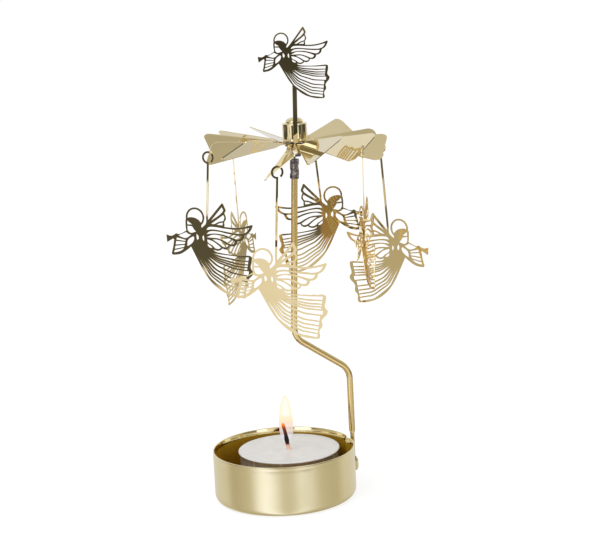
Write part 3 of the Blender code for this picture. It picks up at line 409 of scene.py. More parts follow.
def cup_inside_painted_bounce():
    """The cup's inner wall, with painted bounce light: a deeper gold, partly diffuse, that stands in for the
    light coming in only by way of other walls.
    """
    metal = Material("cup_inside_painted_bounce", (0.76, 0.45, 0.03), 0.20, 0.60)
    tone = metal.ramp(metal.noise(60.0, 2.0), ((0.3, (0.80, 0.48, 0.035)), (0.7, (0.72, 0.42, 0.025))))
    return metal.finish(tone, metal.spread(metal.noise(300.0), 0.14, 0.24))


def candle_wax():
    wax = Material("candle_wax", rgb(222, 220, 216), 0.38, 0.0)
    radius = (0.004, 0.003, 0.0025)
    wax.feed(wax.shader, {"Subsurface Weight": 0.25, "Subsurface Radius": radius, "Subsurface Scale": 0.5})
    tone = wax.ramp(wax.noise(260.0), ((0.3, rgb(224, 222, 218)), (0.7, rgb(218, 215, 212))))
    return wax.finish(tone, None, wax.bump(wax.noise(180.0, 2.0), 0.00012))


def burnt_wick():
    """Waxy foot, black middle and a glowing tip, by height above the wax."""
    wick = Material("burnt_wick", (0.01, 0.01, 0.01), 0.85, 0.0)
    foot = TEALIGHT.z + WAX_TOP
    height = wick.spread(wick.parts(wick.place)[2], 0.0, 1.0, foot, foot + WICK_ABOVE_WAX)
    wick.feed(wick.shader, {"Emission Color": wick.ramp(height, WICK_GLOW), "Emission Strength": 0.8})
    strands = wick.bump(wick.noise(1600.0, 2.0, stretch=(1.0, 1.0, 0.3)), 0.0002)
    return wick.finish(wick.ramp(height, WICK_TONES), None, strands)


def make_materials():
    made = {key: plated_sheet(*values) for key, values in SHEETS.items()}
    # The post alone takes its tone from the angle of view, as painted shade
    made.update({key: worn_and_edge_shaded_metal(*values, by_angle=key == "post") for key, values in WORN_AND_EDGE_SHADED.items()})
    made.update(inside=cup_inside_painted_bounce(), wax=candle_wax(), wick=burnt_wick())
    return made


# Shape helpers

def new_object(name, mesh, material, body, replaced=()):
    piece = bpy.data.objects.new(name, mesh)
    bpy.context.scene.collection.objects.link(piece)
    mesh.materials.clear()
    mesh.materials.append(material)
    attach(piece, body)
    for node in replaced:
        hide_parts(node)
    return piece


def from_shape(name, shape):
    """A mesh with the shape of a bmesh, which goes."""
    mesh = bpy.data.meshes.new(name)
    shape.to_mesh(mesh)
    shape.free()
    return mesh


def evaluated(obj):
    """A new mesh of an object with its modifiers applied."""
    graph = bpy.context.evaluated_depsgraph_get()
    graph.update()
    return bpy.data.meshes.new_from_object(obj.evaluated_get(graph))


def settle(obj, smooth=math.radians(40.0), matrix=None):
    """The evaluated mesh of an object, welded, in world space; the object goes."""
    mesh = evaluated(obj)
    mesh.transform(matrix or obj.matrix_world)
    bpy.data.objects.remove(obj, do_unlink=True)
    shape = bmesh.new()
    shape.from_mesh(mesh)
    bmesh.ops.remove_doubles(shape, verts=shape.verts, dist=0.000004)
    bmesh.ops.recalc_face_normals(shape, faces=shape.faces)
    shape.to_mesh(mesh)
    shape.free()
    mesh.shade_smooth()
    mesh.set_sharp_from_angle(angle=smooth)
    return mesh


def loose(name, data):
    obj = bpy.data.objects.new(name, data)
    bpy.context.scene.collection.objects.link(obj)
    return obj


def subtract(obj, cutter):
    boolean = obj.modifiers.new("cut", "BOOLEAN")
    boolean.solver = "EXACT"
    boolean.object = cutter


def revolve(name, profile, steps=96, closed=False, matrix=None, smooth=math.radians(40.0)):
    mesh = bpy.data.meshes.new(name)
    edges = [(i, i + 1) for i in range(len(profile) - 1)]
    if closed:
        edges.append((len(profile) - 1, 0))
    mesh.from_pydata([(radius, 0.0, height) for radius, height in profile], edges, [])
    obj = loose(name, mesh)
    turn = obj.modifiers.new("turn", "SCREW")
    turn.steps = steps
    turn.render_steps = steps
    turn.use_merge_vertices = True
    turn.merge_threshold = 0.000005
    return settle(obj, smooth, matrix)


def arc(centre, radius, start, end, steps=8):
    angles = [start + (end - start) * i / steps for i in range(steps + 1)]
    return [(centre[0] + radius * math.cos(angle), centre[1] + radius * math.sin(angle)) for angle in angles]


def straight(start, end, steps):
    """Evenly spaced points from the start up to the last one before the end."""
    return [tuple(a + (b - a) * i / steps for a, b in zip(start, end)) for i in range(steps)]


def smooth_step(value):
    value = min(1.0, max(0.0, value))
    return value * value * (3.0 - 2.0 * value)


def polar(radius, azimuth, height=0.0):
    return Vector((radius * math.cos(azimuth), radius * math.sin(azimuth), height))


def press_in(mesh, least, depth_at):
    """Press a turned shape in by a depth that varies, where its radius is more than the least."""
    for vertex in mesh.vertices:
        radius = math.hypot(vertex.co.x, vertex.co.y)
        if radius > least:
            keep = 1.0 - depth_at(math.atan2(vertex.co.y, vertex.co.x), vertex.co.z) / radius
            vertex.co.x *= keep
            vertex.co.y *= keep


def tube(name, points, radius, sides=3, radii=None):
    curve = bpy.data.curves.new(name, "CURVE")
    curve.dimensions = "3D"
    curve.bevel_depth = radius
    curve.bevel_resolution = sides
    curve.use_fill_caps = True
    spline = curve.splines.new("POLY")
    spline.points.add(len(points) - 1)
    for i, (point, place) in enumerate(zip(spline.points, points)):
        point.co = (*place, 1.0)
        if radii:
            point.radius = radii[i]
    return settle(loose(name, curve))


# Holder

def dent(azimuth, height):
    """How far the wall is pressed in beside the post's tongue."""
    turn = (azimuth - LOOP_AZIMUTH + math.pi) % (2 * math.pi) - math.pi
    across = math.exp(-((turn * CUP_RADIUS / DENT_WIDTH) ** 2))
    return DENT_DEPTH * across * smooth_step((height - LOOP_BOTTOM - LOOP_HEIGHT) / DENT_RISE)


def cup_profile():
    inner = CUP_RADIUS - CUP_WALL
    rim = CUP_WALL / 2
    flare_low = CUP_HEIGHT - FLARE_HEIGHT
    profile = [(0.0, CUP_WALL), (inner * 0.5, CUP_WALL)]
    profile += arc((inner - CUP_CORNER + CUP_WALL, CUP_CORNER), CUP_CORNER - CUP_WALL, -QUARTER, 0.0)
    for i in range(1, WALL_ROWS):
        level = CUP_CORNER + (flare_low - CUP_CORNER) * i / WALL_ROWS
        profile.append((inner - FLARE * smooth_step(i / 3), level))
    for i in range(9):
        profile.append((inner - FLARE * (1.0 - (i / 8) ** 1.8), flare_low + (FLARE_HEIGHT - rim) * i / 8))
    profile += arc((inner + rim, CUP_HEIGHT - rim), rim, math.pi, 0.0, 6)
    profile += [(CUP_RADIUS, CUP_HEIGHT - BEAD_DROP * 0.7), (CUP_RADIUS - BEAD_DEPTH, CUP_HEIGHT - BEAD_DROP)]
    profile += straight((CUP_RADIUS, CUP_HEIGHT - BEAD_DROP * 1.35), (CUP_RADIUS, CUP_CORNER), WALL_ROWS)
    profile += arc((CUP_RADIUS - CUP_CORNER, CUP_CORNER), CUP_CORNER, 0.0, -QUARTER)
    return profile + [(CUP_RADIUS * 0.5, 0.0), (0.0, 0.0)]


def make_cup(materials):
    mesh = revolve("cup_shell", cup_profile(), 180)
    press_in(mesh, CUP_RADIUS * 0.8, dent)
    cup = new_object("cup_shell", mesh, materials["cup"], "holder", ["candle_cup"])
    # The inner wall's material paints the light bounced between the walls as a deeper gold
    mesh.materials.append(materials["inside"])
    mesh.materials.append(materials["lip"])
    for face in mesh.polygons:
        flat = Vector((face.center.x, face.center.y, 0.0))
        if face.normal.dot(flat) < 0.0 or (face.normal.z > 0.5 and face.center.z < CUP_CORNER):
            face.material_index = 1 if face.center.z < CUP_HEIGHT - FLARE_HEIGHT * 0.8 else 2

    shape = bmesh.new()
    window = Matrix.Diagonal((WINDOW_DEPTH, WINDOW_DEPTH, LOOP_HEIGHT, 1.0))
    bmesh.ops.create_cube(shape, size=1.0, matrix=window)
    cutter = loose("window", from_shape("window", shape))
    turn = Matrix.Rotation(LOOP_AZIMUTH, 4, "Z")
    cutter.matrix_world = turn @ Matrix.Translation((CUP_RADIUS, 0.0, LOOP_BOTTOM + LOOP_HEIGHT / 2))
    subtract(cup, cutter)
    cut_mesh = evaluated(cup)
    cup.modifiers.clear()
    cup.data = cut_mesh
    cut_mesh.set_sharp_from_angle(angle=math.radians(40.0))
    bpy.data.objects.remove(cutter, do_unlink=True)

    root = math.sqrt(CUP_RADIUS ** 2 - STRAP_HALF ** 2) - STRAP_ROOM
    bay = CUP_RADIUS + TOUCH_GAP * 4 / 3 + TONGUE_THICKNESS
    path = []
    for i in range(33):
        share = i / 16 - 1.0
        path.append((root + (bay - root) * smooth_step((1.0 - abs(share)) * 2.1), STRAP_HALF * share))
    shape = bmesh.new()
    rows = []
    for j in range(9):
        tuck = STRAP_TUCK * (j / 4 - 1.0) ** 4 * 1.3
        rows.append([shape.verts.new((x - tuck, y, LOOP_BOTTOM + LOOP_HEIGHT * j / 8)) for x, y in path])
    for lower, upper in zip(rows, rows[1:]):
        for i in range(len(path) - 1):
            shape.faces.new((lower[i], lower[i + 1], upper[i + 1], upper[i]))
    strap = loose("cup_strap", from_shape("cup_strap", shape))
    thick = strap.modifiers.new("thick", "SOLIDIFY")
    thick.thickness = STRAP_SHEET
    thick.offset = 1.0
    strap.matrix_world = turn
    new_object("cup_strap", settle(strap), materials["cup"], "holder")


def pivot_height():
    return DISC_Z + HUB_HEIGHT - HUB_ROOF - TOUCH_GAP - BEARING_ROOF - NEEDLE_GAP


def ferrule_foot():
    nose = DISC_Z - DISC_THICKNESS / 2 - TOUCH_GAP - COLLAR_HEIGHT
    return nose - FERRULE_ROOM - FERRULE_LENGTH


def post_line_x(height):
    return AXIS_X - (pivot_height() - height) * math.tan(POST_LEAN)


def rounded_route(corners, radius, steps):
    points = [corners[0]]
    for before, corner, after in zip(corners, corners[1:], corners[2:]):
        to_before = (before - corner).normalized()
        to_after = (after - corner).normalized()
        half_angle = to_before.angle(to_after) / 2
        setback = radius / math.tan(half_angle)
        middle = corner + (to_before + to_after).normalized() * radius / math.sin(half_angle)
        start = corner + to_before * setback - middle
        end = corner + to_after * setback - middle
        sweep = start.angle(end)
        for i in range(steps + 1):
            turn = sweep * i / steps
            points.append(middle + (start * math.sin(sweep - turn) + end * math.sin(turn)) / math.sin(sweep))
    points.append(corners[-1])
    return points


def make_post(materials):
    foot = polar(CUP_RADIUS + TOUCH_GAP + TONGUE_THICKNESS / 2, LOOP_AZIMUTH)
    top = ferrule_foot() + FERRULE_SOCKET - TOUCH_GAP

    def over_foot(height):
        return Vector((foot.x, foot.y, height))

    corners = [over_foot(TONGUE_BOTTOM), over_foot(POST_LOW_BEND_Z)]
    corners += [Vector((post_line_x(height), 0.0, height)) for height in (POST_HIGH_BEND_Z, top)]
    route = rounded_route(corners, POST_BEND_RADIUS, 16)
    shoulder = [over_foot(TONGUE_TOP + TONGUE_TAPER * i / 14) for i in range(15)]
    route[1:1] = [over_foot(TONGUE_BOTTOM + 0.0004)] + shoulder
    mesh = tube("post_wire", route, WIRE_RADIUS, 6)
    outward = polar(1.0, LOOP_AZIMUTH)
    along = Vector((-outward.y, outward.x, 0.0))
    for vertex in mesh.vertices:
        flat = smooth_step((TONGUE_TOP + TONGUE_TAPER - vertex.co.z) / TONGUE_TAPER)
        offset = vertex.co - foot
        for side, width in ((outward, TONGUE_THICKNESS), (along, TONGUE_WIDTH)):
            vertex.co += side * offset.dot(side) * flat * (width / (2 * WIRE_RADIUS) - 1.0)
    new_object("post_wire", mesh, materials["post"], "holder", ["post_rod"])


def make_ferrule(materials):
    length = FERRULE_LENGTH / math.cos(POST_LEAN)
    outer = FERRULE_RADIUS
    lip = 0.00025
    profile = [(0.00062, length - 0.0004), (0.00062, length), (outer - lip, length)]
    profile += arc((outer - lip, length - lip), lip, QUARTER, 0.0, 3)
    profile += straight((outer, length - lip), (outer, lip), 40)[1:]
    profile += arc((outer - lip, lip), lip, 0.0, -QUARTER, 3)
    mesh = revolve("crimped_ferrule", profile + [(0.00135, 0.0), (0.00135, 0.0006)], 56)

    def crimp(azimuth, height):
        knurl = smooth_step((height / length - 0.74) / 0.05)
        depth = KNURL_DEPTH * knurl * (0.5 + 0.5 * math.cos(16 * azimuth + height * 2600.0))
        for level, turn in CRIMPS:
            rise = (height / length - level) / 0.085
            ring = math.cos(3 * (azimuth + turn)) * 0.5 + 0.5
            depth += CRIMP_DEPTH * math.exp(-rise * rise) * ring ** 2
        return depth

    press_in(mesh, outer * 0.8, crimp)
    height = ferrule_foot()
    place = Matrix.Translation((post_line_x(height), 0.0, height))
    mesh.transform(place @ Matrix.Rotation(POST_LEAN, 4, "Y"))
    new_object("crimped_ferrule", mesh, materials["steel"], "holder", ["needle_ferrule"])


# Tealight

def make_foil_cup(materials):
    profile = [(0.0, 0.0003), (FOIL_FOOT - 0.0007, 0.0003), (FOIL_FOOT - 0.0003, 0.0007)]
    centre = (TEALIGHT_RADIUS - FOIL_BEAD, TEALIGHT_HEIGHT - FOIL_BEAD)
    profile += arc(centre, FOIL_BEAD, math.pi, -math.pi / 3)
    profile += straight((FOIL_WALL, TEALIGHT_HEIGHT - 3 * FOIL_BEAD), (FOIL_FOOT, 0.0006), 12)
    profile += [(FOIL_FOOT, 0.0006)] + arc((FOIL_FOOT - 0.0004, 0.0004), 0.0004, 0.0, -QUARTER, 3)
    mesh = revolve("foil_cup", profile + [(0.0, 0.0)], 220)

    def ripple(azimuth, height):
        if height >= TEALIGHT_HEIGHT - 2.2 * FOIL_BEAD:
            return 0.0
        wave = math.sin(58 * azimuth + 2.0 * math.sin(5 * azimuth))
        return FOIL_RIPPLE * (0.5 + 0.5 * wave) * smooth_step(height / 0.004)

    press_in(mesh, FOIL_WALL * 0.95, ripple)
    mesh.transform(Matrix.Translation(TEALIGHT))
    new_object("foil_cup", mesh, materials["foil"], "tealight", ["tealight_cup"])


def make_wax(materials):
    """The fill: a little high round the wick, level, and drawn over the foil's lip."""
    level = WAX_TOP - 0.0002
    core = 0.0030
    profile = [(0.0, WAX_TOP + 0.00025), (0.0010, WAX_TOP + 0.0002), (0.0019, level + 0.0001), (core, level)]
    for i in range(1, 17):
        rise = smooth_step((i / 16 - 0.55) / 0.45)
        height = level + (TEALIGHT_HEIGHT + 0.00004 - level) * rise
        profile.append((core + (WAX_RADIUS - core) * i / 16, height))
    profile += arc((TEALIGHT_RADIUS - 0.00030, TEALIGHT_HEIGHT - 0.00022), 0.00028, QUARTER, -math.pi / 4, 5)
    profile += [(WAX_RADIUS - 0.0004, TEALIGHT_HEIGHT - 0.0006), (FOIL_FOOT - 0.0006, 0.0010),
                (FOIL_FOOT - 0.0012, 0.0006), (0.0, 0.0006)]
    mesh = revolve("wax_fill", profile, 128, smooth=math.radians(60.0))
    for vertex in mesh.vertices:
        x, y, z = vertex.co
        if z > WAX_TOP - 0.0008:
            if math.hypot(x, y) < WAX_RADIUS - 0.0014:
                vertex.co.z += 0.00008 * noise.noise(Vector((x * 260.0, y * 260.0, 0.4)))
            spot = math.hypot(x - 0.0021, y + 0.0042) / 0.0007
            vertex.co.z += 0.00022 * math.exp(-spot * spot)
    mesh.transform(Matrix.Translation(TEALIGHT))
    new_object("wax_fill", mesh, materials["wax"], "tealight", ["tealight_wax"])


def make_wick(materials):
    bends = ((0.0, 0.0), (0.12, 0.16), (0.35, 0.33), (0.6, 0.52), (0.82, 0.78), (1.0, 1.0))
    points, radii = [(0.0, 0.0, 0.002)], [1.0]
    for start, end in zip(bends, bends[1:]):
        for rise, lean in straight(start, end, 6):
            points.append((-WICK_LEAN * lean, 0.0, WAX_TOP + WICK_ABOVE_WAX * rise))
            waist = 1.15 - 0.35 * smooth_step(rise / 0.3) + 0.28 * math.exp(-((rise - 0.38) / 0.12) ** 2)
            radii.append(waist * (1.0 - 0.25 * smooth_step((rise - 0.9) / 0.1)))
    points.append((-WICK_LEAN, 0.0, WAX_TOP + WICK_ABOVE_WAX))
    radii.append(0.45)
    mesh = tube("cotton_wick", points, WICK_RADIUS * 1.08, 4, radii)
    mesh.transform(Matrix.Translation(TEALIGHT))
    new_object("cotton_wick", mesh, materials["wick"], "tealight", ["wick"])


# Flame, by height: width share, rim colour, heart colour and cover
FLAME_WIDTHS = (
    (0.0, 0.50), (0.06, 0.66), (0.14, 0.80), (0.24, 0.92), (0.36, 0.99), (0.46, 1.0), (0.58, 0.94),
    (0.70, 0.82), (0.80, 0.68), (0.89, 0.50), (0.95, 0.33), (0.985, 0.18), (1.0, 0.0),
)
FLAME_RIM = (
    (0.0, rgb(200, 205, 225)), (0.2, rgb(214, 214, 230)), (0.34, rgb(240, 218, 210)),
    (0.5, rgb(255, 232, 170)), (0.65, rgb(255, 246, 150)), (1.0, rgb(250, 240, 140)),
)
FLAME_HEART = (
    (0.0, rgb(232, 230, 238)), (0.22, rgb(246, 232, 232)), (0.40, rgb(252, 226, 205)),
    (0.52, rgb(255, 243, 200)), (0.60, rgb(255, 255, 250)), (1.0, rgb(255, 255, 255)),
)
FLAME_COVER = ((0.0, 0.15), (0.12, 0.45), (0.28, 0.78), (0.42, 0.9), (1.0, 0.95))


def make_flame():
    """Tear-shaped glow round the wick: pale yellow rim, white heart, clear bluish foot."""
    length = FLAME_TIP - FLAME_FOOT
    profile = [(FLAME_RADIUS * wide, FLAME_FOOT + length * rise) for rise, wide in reversed(FLAME_WIDTHS)]
    mesh = revolve("flame", profile, 48, smooth=math.radians(180.0))
    mesh.transform(Matrix.Translation((TEALIGHT.x - FLAME_LEAN, TEALIGHT.y, 0.0)))
    material = bpy.data.materials.new("flame_glow")
    graph = Graph(material)
    height = graph.parts(graph.add("TexCoord", "Object"))[2]
    height = graph.spread(height, 0.0, 1.0, FLAME_FOOT, FLAME_TIP)
    facing = graph.add("LayerWeight", "Facing", {"Blend": 0.50})
    colour = graph.blend_colours(facing, graph.ramp(height, FLAME_HEART), graph.ramp(height, FLAME_RIM))
    glow = graph.add("Emission", 0, {"Strength": 1.0, "Color": colour})
    cover = graph.ramp(height, [(rise, (share,) * 3) for rise, share in FLAME_COVER])
    shown = graph.blend(graph.add("NewGeometry", "Backfacing"), 0.0, cover)
    graph.surface("Material", graph.blend_shaders(shown, graph.add("BsdfTransparent"), glow))
    flame = new_object("flame", mesh, material, "tealight")
    flame.visible_shadow = False


# Rotor

def rotor_frame():
    return Matrix.Translation((AXIS_X, 0.0, DISC_Z))


def vane_azimuth(number):
    return VANE_PHASE + number * 2 * math.pi / VANE_COUNT


def vane_axes(number, along):
    droop, pitch, yaw = (math.radians(bend) for bend in VANE_BENDS[number])
    azimuth = vane_azimuth(number) + yaw
    outward = polar(1.0, azimuth)
    sideways = polar(1.0, azimuth + QUARTER)
    upward = Vector((0.0, 0.0, 1.0))
    along_axis = outward * math.cos(droop) - upward * math.sin(droop)
    square = outward * math.sin(droop) + upward * math.cos(droop)
    twist = pitch * smooth_step((along - DISC_FLAT_RADIUS) / (VANE_NECK_END - DISC_FLAT_RADIUS))
    across_axis = sideways * math.cos(twist) + square * math.sin(twist)
    return along_axis, across_axis, along_axis.cross(across_axis)


def vane_point(number, along, across):
    along_axis, across_axis, _ = vane_axes(number, along)
    root = polar(DISC_FLAT_RADIUS, vane_azimuth(number))
    return root + along_axis * (along - DISC_FLAT_RADIUS) + across_axis * across


def hook_hole(number):
    return vane_point(number, VANE_REACH - HOOK_HOLE_EDGE, 0.0)


def vane_half_width(along):
    half = along * math.tan(math.pi / VANE_COUNT) - VANE_SLIT / 2
    past = along - (VANE_REACH - VANE_CORNER)
    if past > 0.0:
        half -= VANE_CORNER - math.sqrt(max(0.0, VANE_CORNER ** 2 - past ** 2))
    return half


def make_vanes(materials):
    shape = bmesh.new()
    columns = VANE_COUNT * VANE_CELLS
    azimuths = [VANE_PHASE + i * 2 * math.pi / columns for i in range(columns)]
    bore, flat = ([shape.verts.new(polar(radius, azimuth)) for azimuth in azimuths]
                  for radius in (DISC_BORE, DISC_FLAT_RADIUS))
    for i in range(columns):
        j = (i + 1) % columns
        shape.faces.new((bore[i], flat[i], flat[j], bore[j]))
    corner = VANE_REACH - VANE_CORNER
    rows = [DISC_FLAT_RADIUS + (VANE_NECK_END - DISC_FLAT_RADIUS) * i / 12 for i in range(1, 13)]
    rows += [VANE_NECK_END + (corner - VANE_NECK_END) * i / 10 for i in range(1, 10)]
    rows += [corner + VANE_CORNER * math.sin(QUARTER * i / 10) for i in range(11)]
    half_cells = VANE_CELLS // 2
    for number in range(VANE_COUNT):
        start = number * VANE_CELLS - half_cells
        before = [flat[(start + i) % columns] for i in range(VANE_CELLS + 1)]
        for along in rows:
            half = vane_half_width(along)
            row = [shape.verts.new(vane_point(number, along, half * (i - half_cells) / half_cells))
                   for i in range(VANE_CELLS + 1)]
            for i in range(VANE_CELLS):
                shape.faces.new((before[i], row[i], row[i + 1], before[i + 1]))
            before = row
    disc = loose("pitched_vanes", from_shape("pitched_vanes", shape))
    thicken = disc.modifiers.new("thicken", "SOLIDIFY")
    thicken.thickness = DISC_THICKNESS
    thicken.offset = 0.0
    shape = bmesh.new()
    for _, number, _, _, _ in CHARMS:
        place = Matrix(vane_axes(number, VANE_REACH)).transposed().to_4x4()
        place.translation = hook_hole(number)
        bmesh.ops.create_cone(shape, cap_ends=True, segments=28, radius1=HOOK_HOLE_RADIUS,
                              radius2=HOOK_HOLE_RADIUS, depth=0.002, matrix=place)
    holes = loose("holes", from_shape("holes", shape))
    subtract(disc, holes)
    mesh = settle(disc, math.radians(35.0), rotor_frame())
    bpy.data.objects.remove(holes, do_unlink=True)
    new_object("pitched_vanes", mesh, materials["vane"], "rotor", ["vane_rotor"])
    # Painted shade: the disc's flat under the hub takes the darker collar gold, for the shade that falls
    # under the hub
    mesh.materials.append(materials["collar"])
    for face in mesh.polygons:
        if math.hypot(face.center.x - AXIS_X, face.center.y) < DISC_FLAT_RADIUS:
            face.material_index = 1


def make_hub(materials):
    top = HUB_HEIGHT
    low = DISC_THICKNESS / 2 + TOUCH_GAP
    profile = [(0.0, top), (HUB_RADIUS - EDGE, top)]
    profile += arc((HUB_RADIUS - EDGE, top - EDGE), EDGE, QUARTER, 0.0, 5)[1:]
    profile += straight((HUB_RADIUS, top - EDGE), (HUB_RADIUS, low + HUB_FOOT), 8)[1:]
    profile += arc((HUB_RADIUS - HUB_FOOT, low + HUB_FOOT), HUB_FOOT, 0.0, -QUARTER, 6)
    profile += [(0.0034, low), (0.0034, low + 0.001)]
    mesh = revolve("hub_shell", profile, 96, matrix=rotor_frame())
    new_object("hub_shell", mesh, materials["hub"], "rotor", ["rotor_hub"])

    rise = DOME_HEIGHT - EDGE + TOUCH_GAP
    profile = []
    for i in range(13):
        turn = QUARTER * i / 12
        profile.append((DOME_RADIUS * math.sin(turn), top + EDGE + rise * math.cos(turn)))
    mesh = revolve("dome_cap", profile + [(DOME_RADIUS, top)], 96, matrix=rotor_frame())
    new_object("dome_cap", mesh, materials["hub"], "rotor", ["hub_dome"])

    flange_top = -(DISC_THICKNESS + TOUCH_GAP) / 2
    flange_low = flange_top - COLLAR_FLANGE
    nose = flange_top - COLLAR_HEIGHT
    spread = COLLAR_RADIUS - 0.0010 - COLLAR_NOSE
    profile = [(COLLAR_BORE, flange_top), (COLLAR_RADIUS - EDGE, flange_top)]
    profile += arc((COLLAR_RADIUS - EDGE, flange_top - EDGE), EDGE, QUARTER, 0.0, 3)
    profile += [(COLLAR_RADIUS, flange_low + EDGE), (COLLAR_RADIUS - EDGE, flange_low)]
    for i in range(9):
        radius = COLLAR_NOSE + spread * (1.0 - i / 8) ** 2.2
        profile.append((radius, flange_low + (nose - flange_low) * i / 8))
    mesh = revolve("collar_funnel", profile + [(COLLAR_BORE, nose)], 72, True, rotor_frame())
    new_object("collar_funnel", mesh, materials["collar"], "rotor", ["rotor_collar"])

    profile = [(COLLAR_NOSE, nose + TIP_LENGTH), (TIP_RADIUS - 0.0001, nose + TIP_LENGTH)]
    profile += [(TIP_RADIUS, nose + TIP_LENGTH - 0.0002), (TIP_RADIUS, nose + 0.0002)]
    mesh = revolve("knurled_tip", profile + [(TIP_RADIUS - 0.0002, nose), (COLLAR_BORE, nose)], 80)
    press_in(mesh, COLLAR_NOSE, lambda azimuth, _: TIP_GROOVE * (0.5 + 0.5 * math.cos(20 * azimuth)))
    mesh.transform(rotor_frame())
    new_object("knurled_tip", mesh, materials["steel"], "rotor")


# Etched figures

def figure_points(shares, scale=1.0):
    """Shares of the figure's spans as places from its joint, turned a little."""
    points = []
    for share_x, share_z in shares:
        x = (share_x - JOINT_SHARE[0]) * FIGURE_SPAN_X * scale
        z = (share_z - JOINT_SHARE[1]) * FIGURE_SPAN_Z * scale
        points.append((x * math.cos(FIGURE_TURN) + z * math.sin(FIGURE_TURN),
                       z * math.cos(FIGURE_TURN) - x * math.sin(FIGURE_TURN)))
    return points


def halo_arc(radius_share, start, end, scale):
    centre = (HALO_CENTRE_SHARE[0] * FIGURE_SPAN_X, HALO_CENTRE_SHARE[1] * FIGURE_SPAN_Z)
    points = arc(centre, radius_share * FIGURE_SPAN_X, start, end, 30)
    return figure_points([(x / FIGURE_SPAN_X, z / FIGURE_SPAN_Z) for x, z in points], scale)


def along_curve(stations, share):
    """The point a share of the way along a run of evenly numbered stations."""
    place = share * (len(stations) - 1)
    number = min(int(place), len(stations) - 2)
    return tuple(a + (b - a) * (place - number) for a, b in zip(stations[number], stations[number + 1]))


def robe_slots(scale):
    """Slots between the robe's ribs: pointed near the body, widest at the hem."""
    slots = []
    ribs = ROBE_HEM_RIB_SHARES
    for number, start in enumerate(SLOT_START_SHARES):
        sides = ([], [])
        for i in range(SLOT_STEPS + 1):
            along = start + (1.0 - start) * i / SLOT_STEPS
            upper = along_curve(ROBE_UPPER_SHARES, along)
            lower = along_curve(ROBE_LOWER_SHARES, along)
            rib = RIB_HALF_START_SHARE + (RIB_HALF_HEM_SHARE - RIB_HALF_START_SHARE) * along
            first = ribs[number] + (rib if number else 0.0)
            last = ribs[number + 1] - (rib if number < len(ribs) - 2 else 0.0)
            opened = math.sqrt(min(1.0, (along - start) / SLOT_TAPER_SHARE))
            half = max(0.008, (last - first) / 2) * opened
            reach = ROBE_HEM_REACH_SHARES[number] if i == SLOT_STEPS else 0.0
            for side, across in zip(sides, (-half, half)):
                share = (first + last) / 2 + across
                spot = tuple(a + (b - a) * share for a, b in zip(upper, lower))
                side.append((spot[0] + reach, spot[1]))
        slots.append(figure_points(sides[0] + sides[1][:0:-1], scale))
    return slots


def figure_right(scale):
    return figure_points(UPPER_WING_SHARES + MAIN_WING_SHARES + ROBE_TOP_SHARES + HEM_SHARES, scale)


def figure_left(scale):
    points = figure_points(SLEEVE_SHARES + TRUMPET_SHARES + FACE_SHARES, scale)
    points += halo_arc(HALO_OUTER_SHARE, HALO_START, HALO_END, scale)
    return points + figure_points(SHOULDER_SHARES, scale)


def figure_openings(scale):
    halo = halo_arc(HALO_INNER_SHARE, HALO_INNER_START, HALO_INNER_END, scale)
    groups = FACE_OPENING_SHARES + ARM_OPENING_SHARES + SLEEVE_OPENING_SHARES + WING_OPENING_SHARES
    openings = [halo + figure_points(HAIR_TOP_SHARES, scale)]
    return openings + [figure_points(shares, scale) for shares in groups] + robe_slots(scale)


def charm_outlines(stem):
    half = STEM_WIDTH / 2
    inner = RING_OUTER - RING_STROKE
    start = -QUARTER - math.asin(half / RING_OUTER)
    root = -QUARTER + math.asin(half / inner)
    gap = RING_GAP_START - 2 * math.pi
    foot_left, foot_right = ((share - JOINT_SHARE[1]) * FIGURE_SPAN_Z - stem
                             for share in (STEM_LEFT_SHARE_Z, STEM_RIGHT_SHARE_Z))
    levels = [-RING_OUTER - RING_WIRE - (stem - 2 * RING_OUTER) * i / 24 for i in range(25)]
    outline = [(-half, foot_left)] + [(-half, level) for level in reversed(levels)]
    outline += arc((0.0, 0.0), RING_OUTER, start, gap, 44) + arc((0.0, 0.0), inner, gap, root, 44)
    outline += [(half, level) for level in levels] + [(half, foot_right)]
    figure = figure_right(1.0) + figure_points(ROBE_UNDER_SHARES) + figure_left(1.0)
    lowered = [[(x, z - stem) for x, z in loop] for loop in [figure] + figure_openings(1.0)]
    return [outline + lowered[0]] + lowered[1:]


def height_at(points, x):
    for (x1, z1), (x2, z2) in zip(points, points[1:]):
        if x2 <= x <= x1:
            return z1 + (z2 - z1) * (x1 - x) / (x1 - x2)


def top_outlines():
    scale = TOP_FIGURE_SHARE
    half = STRIP_WIDTH / 2
    under = figure_points(ROBE_UNDER_SHARES, scale)
    centre = STRIP_OFFSET * scale
    rise = STRIP_LENGTH - height_at(under, centre)
    outline = figure_right(scale) + under[:STRIP_AFTER]
    outline += [(centre + half, height_at(under, centre + half)), (centre + half, -rise)]
    outline += [(centre - half, -rise), (centre - half, height_at(under, centre - half))]
    outline += under[STRIP_AFTER:] + figure_left(scale)
    outline.append((-STEM_WIDTH / 2 * scale, (STEM_LEFT_SHARE_Z - JOINT_SHARE[1]) * FIGURE_SPAN_Z * scale))
    return [[(x - centre, z + rise) for x, z in loop] for loop in [outline] + figure_openings(scale)]


def balance(loops):
    """The centre of gravity of an outline with openings."""
    area = moment_x = moment_z = 0.0
    for number, loop in enumerate(loops):
        part = part_x = part_z = 0.0
        for (x1, z1), (x2, z2) in zip(loop, loop[1:] + loop[:1]):
            cross = x1 * z2 - x2 * z1
            part += cross / 2
            part_x += (x1 + x2) * cross / 6
            part_z += (z1 + z2) * cross / 6
        sign = math.copysign(1.0, part) * (1.0 if number == 0 else -1.0)
        area += sign * part
        moment_x += sign * part_x
        moment_z += sign * part_z
    return moment_x / area, moment_z / area


